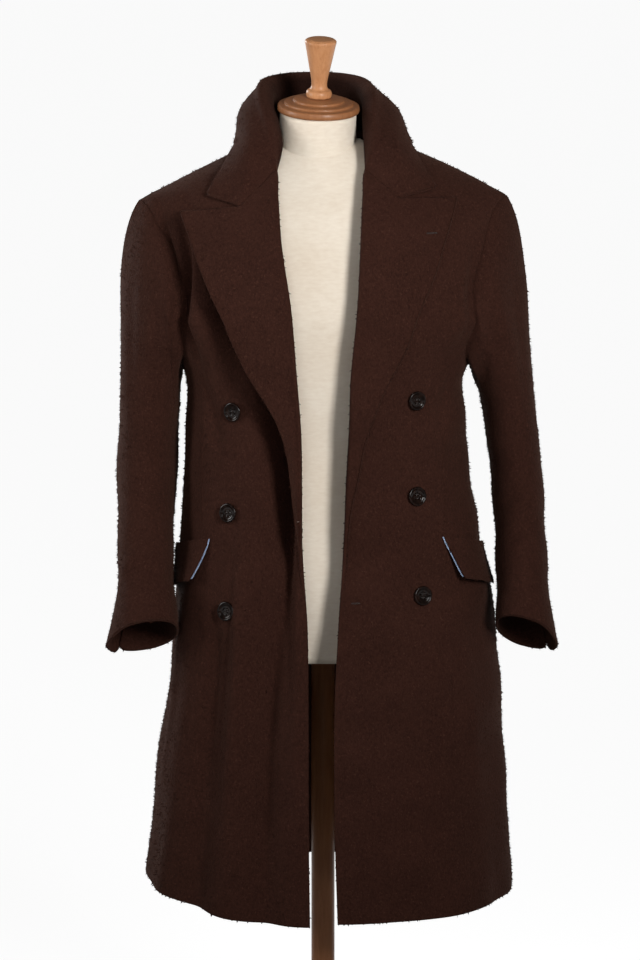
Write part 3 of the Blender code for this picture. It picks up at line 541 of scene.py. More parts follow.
HOLLOW = table(
    "height angle width under bottom depth",
    (0.540, 18.0, 0.024, 0.024, 0.020, 0.000),
    (0.650, 18.0, 0.024, 0.024, 0.020, -0.008),
    (0.760, 16.5, 0.024, 0.022, 0.018, -0.015),
    (0.850, 14.0, 0.022, 0.016, 0.013, -0.023),
    (0.930, 11.5, 0.021, 0.011, 0.008, -0.031),
    (1.040, 10.5, 0.022, 0.009, 0.005, -0.036),
    (1.100, 11.2, 0.024, 0.009, 0.005, -0.036),
    (1.165, 17.5, 0.024, 0.009, 0.005, -0.033),
    (1.230, 25.0, 0.023, 0.009, 0.005, -0.028),
    (1.300, 33.0, 0.022, 0.009, 0.005, -0.030),
    (1.370, 41.0, 0.020, 0.009, 0.005, -0.022),
    (1.430, 47.0, 0.018, 0.009, 0.005, 0.000),
)
UNEVEN = 0.0007
UNEVEN_WAVES = 7
UNEVEN_TOP = 1.440
UNEVEN_FADE = 0.060
UNEVEN_BACK_FADE = 15
WAVE_LENGTHS = (0.06, 0.20)
FIRST_TURN, TURN_PASSES = 0.2, 4
LOW_ROWS, LOW_STEPS = 16, 8
ARM_ROWS, ARM_STEPS = 9, 7
BREAK_ROW = 11
ROLL_GROWS_ROWS = 3
GORGE_SHARE = 2 / ARM_ROWS
FRONT_COLUMNS = 84
BACK_COLUMNS = 66
TOP_GAP = 0.0008
ROLL = 0.0050
ROLL_AT_BREAK = 0.0036
ROLL_TAIL = 0.060
SEWN_ROUNDING = 0.0007
SEAM_LAP = 0.0002
NAP_SEED = 11
NAP_AREA = 30e-6
NAP_ROOT = 0.0002
NAP_SHADING = 0.6
NAP_LENGTH_SHAPE, NAP_LENGTH_SCALE = 6.0, 0.00034
NAP_SHORTEST, NAP_LONGEST = 0.0010, 0.0036
NAP_RADII = (0.0006, 0.0013)
NAP_LEAN, NAP_DROOP, NAP_LEAN_SHARE = 0.75, 0.55, 0.8
PAINTED_SHADE_DARK = 0.65
WOOL_BROWNS = (0.0140, 0.0048, 0.0031, 1), (0.0450, 0.0166, 0.0110, 1)
WOOL_FLECK = (0.0800, 0.0330, 0.0220, 1)
WOOL_PAINTED_SHADE = (0.0040, 0.0014, 0.0010, 1)
WOOL_SHEEN = (0.70, 0.38, 0.27, 1)
random = np.random.default_rng(NAP_SEED)


def napped_wool():
    """Browns mixed by matted fibres, pills and wider clouds, with paler flecks, a nap and a dull sheen.

    Where the point attribute read below is 1, as inside the collar's stand, the brown is darkened towards
    near-black as painted shade.
    """
    material, place, shader = finish(
        "napped_wool",
        Sheen_Weight=0.07,
        Sheen_Roughness=0.5,
        Sheen_Tint=WOOL_SHEEN,
        Specular_IOR_Level=0.06,
    )
    fibres = place.noise(0.0015, stretch=(1, 1, 1.8), detail=3.0)
    pills = place.noise(0.0034, stretch=(1, 1, 1.3), detail=2.0)
    clouds = place.noise(0.060, detail=2.0)
    flecks = place.noise(0.0026, detail=1.0).step(0.64, 0.74)
    tone = (fibres * 0.55 + pills * 0.35 + clouds * 0.16).step(0.30, 0.78)
    brown = tone.mix(*WOOL_BROWNS)
    flecked = (flecks * 0.4).mix(brown, WOOL_FLECK)
    # Painted shade: where the attribute is 1, the brown is mixed towards a near-black brown.
    painted_shade = place.node("ShaderNodeAttribute", {"attribute_name": "painted_shade"}, {}, output="Fac")
    feed(shader, "Base Color", (painted_shade * PAINTED_SHADE_DARK).mix(flecked, WOOL_PAINTED_SHADE))
    feed(shader, "Roughness", fibres * 0.1 + 0.88)
    raise_bump(shader, fibres * 0.45 + pills * 0.55, 0.0022, 0.75)
    return material


def unit(vectors):
    """Vectors divided by their lengths."""
    return vectors / np.linalg.norm(vectors, axis=-1, keepdims=True)


def shoulder_normal(side, reach):
    """Up and out from the shoulder line."""
    past = np.abs(reach) - NECK_HALF
    fall = SHOULDER_SLOPE[side] * np.clip(1 + 2 * past / NECK_HALF, 0, 1)
    fall = fall + 2 * SHOULDER_CURVE[side] * np.maximum(past, 0)
    return unit(np.stack((SIDES[side] * fall, 0 * fall, 1 + 0 * fall), axis=-1))


def hem_height(side, turn):
    """Height of the hem, which rises a little from the front round to the sides."""
    ahead = np.cos(turn)
    rise = HEM_FRONT_LIFT[side] * np.maximum(ahead, 0) + HEM_BACK_LIFT * np.maximum(-ahead, 0)
    return HEM + rise + HEM_SIDE_LIFT[side] * np.sin(turn) ** 2


def body_base(side, turn, way):
    """A point of the coat's body without folds.

    turn runs from the centre front (0) to the centre back (pi). way runs from the hem (0) up to the chest
    (1), and from there, as a quarter of an ellipse in depth, to the shoulder line (2).
    """
    low = np.minimum(way, 1)
    level = HEM + low * (CHEST - HEM)
    grow = np.clip(way - 1, 0, 1)
    climb = grow * math.pi / 2
    half = smooth(level, BODY["height"], BODY[side])
    half = half + (SHOULDER_HALF - half) * grow**2 * (3 - 2 * grow)
    behind = np.cos(turn) < 0
    front, back = (smooth(level, BODY["height"], BODY[end]) for end in ("front", "back"))
    across = half * power(np.sin(turn), 2 / SQUARE)
    ring = np.where(behind, back, front) * np.abs(np.cos(turn)) ** (2 / SQUARE)
    neck = np.where(behind, NECK_BACK * np.clip(1 - (across / NECK_HALF) ** 2, 0, None), 0)
    away = neck + (ring - neck) * np.cos(climb)
    hem = hem_height(side, turn)
    height = hem + low * (CHEST - hem) + (shoulder_height(side, across) - CHEST) * np.sin(climb)
    return np.stack((SIDES[side] * across, np.where(behind, away, -away), height), axis=-1)


def body_normal(side, turn, way):
    """The outward direction of the unfolded body, from the slopes along turn and way."""
    e = 1e-4
    along = body_base(side, turn + e, way) - body_base(side, turn - e, way)
    up = body_base(side, turn, way + e) - body_base(side, turn, way - e)
    return unit(np.cross(along, up)) * SIDES[side]


def crease_height(creases, degree, angle, along):
    """How far creases stand out: each a bell curve across a straight line, dying away at both ends."""
    total = np.zeros(np.broadcast(angle, along).shape)
    for start, first, end, last, width, depth in zip(*creases.values()):
        across, down = (end - start) * degree, last - first
        from_start, below = (angle - start) * degree, along - first
        share = np.clip((from_start * across + below * down) / (across**2 + down**2), 0, 1)
        gap = np.hypot(from_start - share * across, below - share * down)
        total += depth * np.exp(-((gap / width) ** 2)) * np.sin(math.pi * share) ** CREASE_FADE
    return total


def uneven_height(waves, across, along):
    """The slight unevenness of thick cloth: a few long waves in different directions."""
    return UNEVEN * sum(np.sin(across * a + along * b + start) for a, b, start in waves)


def long_waves():
    """Wave numbers and starts of waves some 60 to 200 mm long."""
    heading = random.uniform(0, math.pi, UNEVEN_WAVES)
    number = 2 * math.pi / random.uniform(*WAVE_LENGTHS, UNEVEN_WAVES)
    start = random.uniform(0, 2 * math.pi, UNEVEN_WAVES)
    return list(zip(number * np.cos(heading), number * np.sin(heading), start))


BODY_WAVES = {side: long_waves() for side in SIDES}


def hollow_height(angle, height):
    """The deep hollow beside the standing lapel, whose middle, width and depth follow the height.

    It falls ever more steeply towards its rounded bottom, and rises again in a shorter way under the lapel.
    """
    rows = "angle", "width", "under", "bottom", "depth"
    middle, width, under, bottom, depth = (smooth(height, HOLLOW["height"], HOLLOW[row]) for row in rows)
    past = (angle - middle) * DEGREE
    rounded = np.hypot(past, bottom) - bottom
    return depth * np.exp(-rounded / np.where(past > 0, width, under))


def fold_height(side, turn, height, creased):
    """How far the cloth stands out: folds that grow down to the hem, creases, and slight unevenness."""
    angle = np.degrees(turn)
    clear_of_edge = np.clip((angle - EDGE_FLAT) / EDGE_FADE, 0, 1)
    total = crease_height(CREASES[side], DEGREE, angle, height)
    if side == HOLLOW_SIDE:
        total += hollow_height(angle, height)
    total *= clear_of_edge * creased
    for hem_angle, top_angle, top, width, depth in zip(*FOLDS[side].values()):
        down = np.clip((top - height) / (top - HEM), 0, 1)
        middle = top_angle + (hem_angle - top_angle) * down
        total += depth * down**FOLD_FADE * np.exp(-(((angle - middle) / width) ** 2))
    to_back = np.clip((180 - angle) / UNEVEN_BACK_FADE, 0, 1)
    calm = np.clip((UNEVEN_TOP - height) / UNEVEN_FADE, 0, 1) * to_back
    return total + calm * uneven_height(BODY_WAVES[side], angle * DEGREE, height)


def body(side, turn, way, out=0.0, creased=True):
    """A point of the folded coat, moved out along the body's own outward direction."""
    turn, way = np.broadcast_arrays(np.asarray(turn, float), np.asarray(way, float))
    base = body_base(side, turn, way)
    lift = fold_height(side, turn, base[..., 2], creased) + out
    return base + body_normal(side, turn, way) * lift[..., None]


def turn_and_way(side, reach, height):
    """Where on the front a point lies that is a distance from the middle, at a height."""
    reach, height = np.broadcast_arrays(np.asarray(reach, float), np.asarray(height, float))
    turn = np.full(reach.shape, FIRST_TURN)
    for _ in range(TURN_PASSES):
        hem = hem_height(side, turn)
        rise = np.clip((height - CHEST) / (shoulder_height(side, reach) - CHEST), 0, 1)
        low = (height - hem) / (CHEST - hem)
        way = np.where(height > CHEST, 1 + np.arcsin(rise) * 2 / math.pi, low)
        grow = np.clip(way - 1, 0, 1)
        half = smooth(HEM + np.minimum(way, 1) * (CHEST - HEM), BODY["height"], BODY[side])
        half = half + (SHOULDER_HALF - half) * grow**2 * (3 - 2 * grow)
        turn = np.arcsin(np.clip((reach / half) ** (SQUARE / 2), 0, 1))
    return turn, way


def body_at(side, reach, height, out=0.0, creased=True):
    """The folded coat's point at a distance from the middle and a height."""
    return body(side, *turn_and_way(side, reach, height), out, creased)


ARM_WAY = (ARMPIT - HEM) / (CHEST - HEM)


def arm_ways(shares):
    """The ways of rows beside the armhole, from its share: 1 at the armpit, 0 at the shoulder tip."""
    return 2 - (2 - ARM_WAY) * np.sin(shares * math.pi / 2)


def way_height(side, way):
    """Height at the front edge of a way."""
    hem = hem_height(side, 0.0)
    above = CHEST + (NECK_HEIGHT - CHEST) * np.sin((np.maximum(way, 1) - 1) * math.pi / 2)
    return np.where(way <= 1, hem + way * (CHEST - hem), above)


ARM_SHARES = np.linspace(1, 0, ARM_ROWS * ARM_STEPS + 1)
ROW_WAYS = np.concatenate((np.linspace(0, ARM_WAY, LOW_ROWS * LOW_STEPS + 1), arm_ways(ARM_SHARES)[1:]))
ROW_WAYS[-1] -= TOP_GAP
BREAK_WAY = ARM_WAY * BREAK_ROW / LOW_ROWS
FULL_ROLL_WAY = ARM_WAY * (BREAK_ROW + ROLL_GROWS_ROWS) / LOW_ROWS
GORGE_WAY = arm_ways(GORGE_SHARE)


def armhole_turn(end):
    """The angle at which each row of a panel ends: the side seam, then the armhole above the armpit."""
    share = np.concatenate((np.ones(LOW_ROWS * LOW_STEPS), ARM_SHARES))
    return np.radians(smooth(share, ARMHOLE["share"], ARMHOLE[end]))


def roll_radius(side, height):
    """Radius of the lapel's roll: that of the plain edge's rim below the break, full a little above it."""
    start, full = way_height(side, BREAK_WAY), way_height(side, FULL_ROLL_WAY)
    return smooth(height, (start - ROLL_TAIL, start, full), (CLOTH / 2, ROLL_AT_BREAK, ROLL))


def roll_reach(side, height):
    """Where the front panel stops and the lapel's roll starts."""
    return smooth(height, FRONT_EDGE["height"], FRONT_EDGE[side]) + roll_radius(side, height)


def cell_corners(grid):
    """The four corners of each cell of a grid, in turn round the cell."""
    return grid[:-1, :-1], grid[:-1, 1:], grid[1:, 1:], grid[1:, :-1]


def nap(name, grids):
    """Tufts of wool on grids of points: small three-sided spikes, each leaning its own way and a little down.

    Their places are drawn evenly over the area of the grids' cells, each within its cell. They are shaded
    mostly as the cloth under them is, as loose fibres are that let the light through.
    """
    places, outs = [], []
    for points, inward in grids:
        corners = np.stack(cell_corners(points)).reshape(4, -1, 3)
        areas = np.linalg.norm(np.cross(corners[2] - corners[0], corners[3] - corners[1]), axis=-1) / 2
        total = np.cumsum(areas)
        count = int(total[-1] / NAP_AREA)
        cell = np.minimum(np.searchsorted(total, random.uniform(0, total[-1], count)), len(areas) - 1)
        u, v = random.uniform(0, 1, (2, count, 1))
        a, b, c, d = corners[:, cell]
        places.append((a * (1 - u) + b * u) * (1 - v) + (d * (1 - u) + c * u) * v)
        outs.append(-inward[:-1, :-1].reshape(-1, 3)[cell])
    place, out = np.concatenate(places), np.concatenate(outs)
    count = len(place)
    length = random.gamma(NAP_LENGTH_SHAPE, NAP_LENGTH_SCALE, (count, 1)).clip(NAP_SHORTEST, NAP_LONGEST)
    radius = random.uniform(*NAP_RADII, (count, 1))
    lean = random.normal(0, NAP_LEAN, (count, 3)) + np.array((0, 0, -NAP_DROOP))
    turn = random.uniform(0, 2 * math.pi, (count, 1))
    first = unit(np.cross(out, random.normal(0, 1, (count, 3))))
    second = np.cross(out, first)
    root = place - out * NAP_ROOT
    foot = []
    for corner in range(3):
        spin = turn + corner * 2 * math.pi / 3
        foot.append(root + radius * (first * np.cos(spin) + second * np.sin(spin)))
    tip = place + unit(out + lean * NAP_LEAN_SHARE) * length
    points = np.stack((*foot, tip), axis=1)
    at = np.arange(count)[:, None, None] * 4
    faces = (at + np.array(((0, 1, 3), (1, 2, 3), (2, 0, 3), (2, 1, 0)))).reshape(-1, 3)
    piece = put_piece(name, points, faces.tolist(), wool, "brown_wool")
    soft = unit(out[:, None] + NAP_SHADING * unit(points - root[:, None]))
    piece.data.normals_split_custom_set_from_vertices(soft.reshape(-1, 3).tolist())
    return piece


def cloth_shell(node, outer, inward, thickness, rounding, material, slot):
    """A shell of cloth: a grid of outer points, the same moved inward, and a rounded edge between them.

    thickness and rounding are grids too. The edge is a rounded step, carried round the grid's border, which
    is first drawn in by the rounding of its corners: half the thickness makes a half circle. Returns the
    piece and the grids of its outside, for the nap.
    """
    rows, columns = outer.shape[:2]
    size = rows * columns
    index = np.arange(size).reshape(rows, columns)
    border = np.concatenate((index[0, :-1], index[:-1, -1], index[-1, :0:-1], index[:0:-1, 0]))
    normal = np.cross(np.gradient(outer, axis=1), np.gradient(outer, axis=0))
    hand = 1 if np.sum(normal * inward) < 0 else -1
    edge, into = outer.reshape(-1, 3)[border], inward.reshape(-1, 3)[border]
    along = np.roll(edge, -1, axis=0) - np.roll(edge, 1, axis=0)
    beyond = -unit(np.cross(along, into)) * hand
    deep, corner = thickness.reshape(-1, 1), rounding.reshape(-1, 1)[border]
    drawn = outer.reshape(-1, 3).copy()
    drawn[border] -= beyond * corner
    inner = drawn + inward.reshape(-1, 3) * deep
    bend = np.linspace(0, math.pi, EDGE_STEPS + 1)[1:-1, None, None]
    down = np.where(np.cos(bend) > 0, 0, deep[border] - 2 * corner) + corner * (1 - np.cos(bend))
    rim = drawn[border] + into * down + beyond * corner * np.sin(bend)
    points = np.concatenate((drawn, inner, rim.reshape(-1, 3)))
    quads = np.stack(cell_corners(index), axis=-1).reshape(-1, 4)
    rim_index = 2 * size + np.arange(rim.shape[0] * rim.shape[1]).reshape(rim.shape[:2])
    loops = np.concatenate((border[None], rim_index, border[None] + size))
    after = np.roll(loops, -1, axis=1)
    strips = np.stack((after[:-1], loops[:-1], loops[1:], after[1:]), axis=-1).reshape(-1, 4)
    faces = np.concatenate((quads[:, ::hand], quads[:, ::-hand] + size, strips[:, ::hand]))
    piece = put_piece(f"cloth_{node}", points, faces.tolist(), material, slot, node)
    rim_grid = np.concatenate((drawn[border][None], rim))
    rim_inward = np.concatenate((into[None], np.repeat((into - beyond)[None], len(rim), axis=0)))
    return piece, ((drawn.reshape(outer.shape), inward), (rim_grid, rim_inward))


def declare_cloth(grid):
    """Works out the area of a grid's cells, and nothing uses it."""
    a, b, c, d = cell_corners(grid)
    area = np.linalg.norm(np.cross(c - a, d - b), axis=-1).sum() / 2


def wool_piece(node, outer, inward, sewn, thickness=CLOTH, napped_from=0):
    """A napped wool shell in place of its node, with its tufts.

    sewn marks the border points that are joined to another piece; the others are free, rounded edges.
    Tufts stand on the columns after napped_from.
    """
    thickness = np.broadcast_to(thickness, outer.shape[:2])
    rounding = np.where(sewn, SEWN_ROUNDING, thickness / 2)
    piece, outside = cloth_shell(node, outer, inward, thickness, rounding, wool, "brown_wool")
    napped = [grid[:, napped_from:] for grid in outside[0]]
    tufts = nap(f"nap_{node}", (napped, outside[1]))
    declare_cloth(outer)
    return piece


def panel(node, side, turns, facing, sewn_start):
    """A body panel from the angles of its rows, its top row parted from the other along the shoulder."""
    ways = ROW_WAYS[:, None] + 0 * turns
    outer = body(side, turns, ways)
    inward = -body_normal(side, turns, ways)
    outer[-1, :, 1] = facing * np.maximum(facing * outer[-1, :, 1], SEAM / 2)
    inward[-1] = -shoulder_normal(side, outer[-1, :, 0])
    sewn = np.zeros(turns.shape, bool)
    sewn[:, -1] = sewn[-1] = True
    sewn[:, 0] = sewn_start
    sewn[0] = False
    wool_piece(node, outer, inward, sewn)


wool = napped_wool()
for side in SIDES:
    half = np.abs(body_base(side, math.pi / 2, ROW_WAYS)[:, 0])
    row_heights = way_height(side, ROW_WAYS)
    rolled = row_heights > way_height(side, BREAK_WAY) - ROLL_TAIL
    plain_edge = smooth(row_heights, FRONT_EDGE["height"], FRONT_EDGE[side])
    edge_reach = np.where(rolled, roll_reach(side, row_heights) + SEAM, plain_edge)
    front_start = np.arcsin(np.clip((edge_reach / half) ** (SQUARE / 2), 0, 1))
    front_end = armhole_turn("front") + SEAM_LAP / half
    back_start = armhole_turn("back") - SEAM_LAP / half
    back_end = np.full(len(half), math.pi)
    front_share, back_share = np.linspace(0, 1, FRONT_COLUMNS + 1), np.linspace(0, 1, BACK_COLUMNS + 1)
    front_turns = front_start[:, None] + (front_end - front_start)[:, None] * front_share
    back_turns = back_start[:, None] + (back_end - back_start)[:, None] * back_share
    panel(f"front_{side}", side, front_turns, -1, rolled)
    panel(f"back_{side}", side, back_turns, 1, True)


# The sleeves: a top sleeve and an under sleeve of the same wool, sewn together at the fore-arm and hind-arm
# seams, set into the armholes with a full head, and left open at the vent above the cuff.
SLEEVE = table(
    "height right_x left_x right_half left_half depth forward",
    (0.830, 0.2420, 0.2710, 0.0400, 0.0385, 0.054, 0.108),
    (0.890, 0.2415, 0.2695, 0.0358, 0.0350, 0.058, 0.072),
    (0.970, 0.2415, 0.2670, 0.0365, 0.0342, 0.064, 0.029),
    (1.050, 0.2390, 0.2620, 0.0390, 0.0352, 0.070, 0.002),
    (1.130, 0.2350, 0.2525, 0.0415, 0.0370, 0.074, -0.004),
)
SLEEVE_SQUARE = 2.2
HEAD_OUT = 0.42
HEAD_OUT_AT_TIP = {"right": 0.57, "left": 0.47}
HEAD_FORWARD = 0.45
HEAD_DOWN = 0.78
HEAD_LEAVES = 0.22
HEAD_ARRIVES = 0.40
HEAD_STEPS = 36
SLEEVE_STEPS = 68
SLEEVE_FINER_AT_CUFF = 1.3
RING_STEPS = 8
CORNER_CELLS = 10
ARMPIT_EASE = 0.002
HEAD_EVEN, CUFF_EVEN = 0.08, 0.16
RIM_PASSES = 14
RIM_SPAN = 0.040
TUCKS = ((0.0060, 0.0046), (-0.0004, 0.0030))
SEAM_AT_FRONT = 7 * RING_STEPS
SEAM_AT_BACK = 16 * RING_STEPS
VENT = 0.085
VENT_FLARE = {"right": 0.010, "left": 0.006}
VENT_FLARE_UNDER = 0.65
VENT_CURVE, VENT_CURVE_UNDER, TAB_CURVE = 1.5, 3, 1.5
VENT_LAP = {"right": 2.5, "left": 1.2}
VENT_LAP_FROM = (0.3, 0.7)
VENT_ROUNDING = 0.015
TAB_ROUNDING = 0.018
TAB_DROP = 0.005
TAB_DROP_CURVE = 4
TAB_COLUMNS = 4 * RING_STEPS
TAB_FULL = 2.0
CUFF_SLANT = {"right": 0.016, "left": 0.026}
CUFF_SLANT_FROM = 0.080
CUFF_FULL = {"right": 0.0075, "left": 0.0}
CUFF_FULL_FROM = 0.200
SLEEVE_DEGREE = 0.0009
SLEEVE_WAVE_SPAN = 0.06
SLEEVE_CREASES = {
    "right": table(
        "angle below end_angle end_below width depth",
        (35.0, 0.04, 62.0, 0.20, 0.012, -0.0030),
        (75.0, 0.03, 86.0, 0.15, 0.009, 0.0020),
        (60.0, 0.33, 150.0, 0.36, 0.010, -0.0032),
        (50.0, 0.38, 140.0, 0.395, 0.009, -0.0026),
        (20.0, 0.44, 110.0, 0.41, 0.010, 0.0020),
        (300.0, 0.06, 280.0, 0.24, 0.013, -0.0036),
        (250.0, 0.32, 330.0, 0.36, 0.012, -0.0022),
        (340.0, 0.20, 10.0, 0.46, 0.016, 0.0016),
    ),
    "left": table(
        "angle below end_angle end_below width depth",
        (40.0, 0.05, 58.0, 0.21, 0.012, -0.0026),
        (72.0, 0.04, 88.0, 0.17, 0.010, 0.0022),
        (70.0, 0.32, 150.0, 0.35, 0.010, -0.0030),
        (46.0, 0.37, 128.0, 0.40, 0.010, -0.0028),
        (30.0, 0.43, 100.0, 0.42, 0.009, 0.0018),
        (296.0, 0.05, 276.0, 0.25, 0.013, -0.0034),
        (240.0, 0.33, 325.0, 0.35, 0.012, -0.0024),
    ),
}
SLEEVE_WAVES = {side: long_waves() for side in SIDES}


def sleeve_rings(side, heights, angles):
    """Sections of the hanging sleeve: soft ovals square to the sleeve's own line, and that line's heading."""
    e = 1e-3

    def middle(at):
        """The sleeve's own line: the middle of its section at a height."""
        across = SIDES[side] * smooth(at, SLEEVE["height"], SLEEVE[f"{side}_x"])
        return np.stack((across, -smooth(at, SLEEVE["height"], SLEEVE["forward"]), at), axis=-1)

    low, high = np.maximum(heights - e, SLEEVE["height"][0]), np.minimum(heights + e, SLEEVE["height"][-1])
    axis = unit(middle(high) - middle(low))
    sideways = unit(np.array((1.0, 0.0, 0.0)) - axis[:, :1] * axis)
    forward = np.cross(sideways, axis)
    half = smooth(heights, SLEEVE["height"], SLEEVE[f"{side}_half"])[:, None]
    depth = smooth(heights, SLEEVE["height"], SLEEVE["depth"])[:, None]
    wide = SIDES[side] * half * power(np.cos(angles), 2 / SLEEVE_SQUARE)
    deep = depth * power(np.sin(angles), 2 / SLEEVE_SQUARE)
    rings = middle(heights)[:, None] + wide[..., None] * sideways[:, None]
    return rings + deep[..., None] * forward[:, None], axis


def sleeve_grid(side):
    """The sleeve's outer points, ring by ring from the armhole to the cuff, and the ways into its wall.

    A ring starts at the shoulder tip, goes down the front to the armpit and up the back. The head bends as
    a Bezier curve from each armhole point to its point on the first hanging section. It stands over the
    creases of the chest, its rim eased where the chest bends, and its first rings go down to them. The cuff
    is higher and fuller on the side of the body.
    """
    share = np.linspace(0, 1, ARM_ROWS * RING_STEPS + 1)
    front, back = (np.radians(smooth(share, ARMHOLE["share"], ARMHOLE[end])) for end in ("front", "back"))
    ways = arm_ways(share)
    ways[0] -= TOP_GAP
    turns = np.concatenate((front, back[-2:0:-1]))
    ring_ways = np.concatenate((ways, ways[-2:0:-1]))
    creased = body(side, turns, ring_ways)
    armhole = body(side, turns, ring_ways, creased=False)
    eased = armhole
    for _ in range(RIM_PASSES):
        eased = (np.roll(eased, 1, axis=0) + 2 * eased + np.roll(eased, -1, axis=0)) / 4
    armhole = armhole + (eased - armhole) * np.exp(-(((armhole[:, 2:] - CHEST) / RIM_SPAN) ** 2))
    upright = body_normal(side, turns, ring_ways)
    upright[0] = shoulder_normal(side, armhole[0, 0])
    count = len(armhole)
    angles = np.arange(count) * 2 * math.pi / count
    above_cuff = np.linspace(1, 0, SLEEVE_STEPS + 1) ** SLEEVE_FINER_AT_CUFF
    above_cuff = above_cuff * (SLEEVE["height"][-1] - SLEEVE["height"][0])
    hanging, axes = sleeve_rings(side, SLEEVE["height"][0] + above_cuff, angles)
    near_cuff = np.clip(1 - above_cuff / CUFF_SLANT_FROM, 0, 1)[:, None]
    slant = near_cuff * CUFF_SLANT[side] * (1 - np.cos(angles)) / 2
    hanging = hanging + slant[..., None] * axes[:, None]
    near_cuff = np.clip(1 - above_cuff / CUFF_FULL_FROM, 0, 1)[:, None]
    towards_body = near_cuff**2 * (3 - 2 * near_cuff) * (1 - np.cos(angles)) / 2
    hanging[..., 0] -= SIDES[side] * CUFF_FULL[side] * towards_body
    top = hanging[0]
    leave_out = SIDES[side] * (HEAD_OUT + (HEAD_OUT_AT_TIP[side] - HEAD_OUT) * np.cos(angles))
    leave = unit(np.stack((leave_out, -HEAD_FORWARD * np.sin(angles), np.full(count, -HEAD_DOWN)), axis=-1))
    rim = (np.roll(armhole, -1, axis=0) - np.roll(armhole, 1, axis=0)) * SIDES[side]
    onward = unit(np.cross(upright, rim))
    seam_inward = unit(np.cross(leave, rim))
    pinch = np.maximum(-np.sum(seam_inward * onward, axis=1, keepdims=True), 0)
    under = np.maximum(-np.cos(angles), 0)[:, None]
    tucks = [creased - onward * back - upright * down for back, down in TUCKS]
    tuck_inward = [-upright, unit(onward - upright)]
    armhole = armhole + onward * (SEAM + CLOTH * pinch) + upright * (SEAM + ARMPIT_EASE * under)
    span = np.linalg.norm(top - armhole, axis=1, keepdims=True)
    leaving, arriving = armhole + leave * span * HEAD_LEAVES, top + axes[0] * span * HEAD_ARRIVES
    f = np.linspace(0, 1, HEAD_STEPS + 1)[:, None, None]
    head = armhole * (1 - f) ** 3 + 3 * leaving * f * (1 - f) ** 2
    head = head + 3 * arriving * f**2 * (1 - f) + top * f**3
    points = np.concatenate((head, hanging[1:]))
    around = np.concatenate((points[:, -1:], points, points[:, :1]), axis=1)
    normals = unit(np.cross(np.gradient(around, axis=0), np.gradient(around, axis=1)))[:, 1:-1]
    inward = normals if np.sum(normals * (points.mean(axis=1, keepdims=True) - points)) > 0 else -normals
    inward[0] = seam_inward
    below = np.linalg.norm(np.diff(points, axis=0), axis=-1).mean(axis=1).cumsum()
    below = np.concatenate(((0,), below))[:, None]
    lift = crease_height(SLEEVE_CREASES[side], SLEEVE_DEGREE, np.degrees(angles), below)
    uneven = uneven_height(SLEEVE_WAVES[side], np.sin(angles) * SLEEVE_WAVE_SPAN, below)
    lift = lift + uneven * np.clip(np.minimum(below / HEAD_EVEN, (below[-1] - below) / CUFF_EVEN), 0, 1)
    points = points - inward * lift[..., None]
    return np.concatenate((tucks, points)), np.concatenate((tuck_inward, inward))


def round_corner(grid, at_start, radius, steps):
    """A grid with a corner of its last column rounded: a square of cells there is drawn in to a quarter disc.

    steps are the lengths of a cell at the corner along its row and along its column.
    """
    rows, columns = grid.shape[:2]
    row, column = np.arange(rows, dtype=float)[:, None], np.arange(columns, dtype=float)[None]
    from_end = row if at_start else rows - 1 - row
    u = np.clip(1 - (columns - 1 - column) * steps[0] / radius, 0, 1)
    v = np.clip(1 - from_end * steps[1] / radius, 0, 1)
    to_column = column - u * (1 - np.sqrt(1 - v**2 / 2)) * radius / steps[0]
    away = v * (1 - np.sqrt(1 - u**2 / 2)) * radius / steps[1]
    to_row = row + away if at_start else row - away
    r, c = np.minimum(to_row.astype(int), rows - 2), np.minimum(to_column.astype(int), columns - 2)
    f, g = (to_row - r)[..., None], (to_column - c)[..., None]
    below = grid[r, c] * (1 - g) + grid[r, c + 1] * g
    return below * (1 - f) + (grid[r + 1, c] * (1 - g) + grid[r + 1, c + 1] * g) * f


def corner_steps(grid, row):
    """Mean lengths of the few cells nearest a corner of the last column, along the row and the column."""
    near = slice(CORNER_CELLS + 1) if row == 0 else slice(-CORNER_CELLS - 1, None)
    lines = grid[row, -CORNER_CELLS - 1 :], grid[near, -1]
    return [np.linalg.norm(np.diff(line, axis=0), axis=-1).mean() for line in lines]


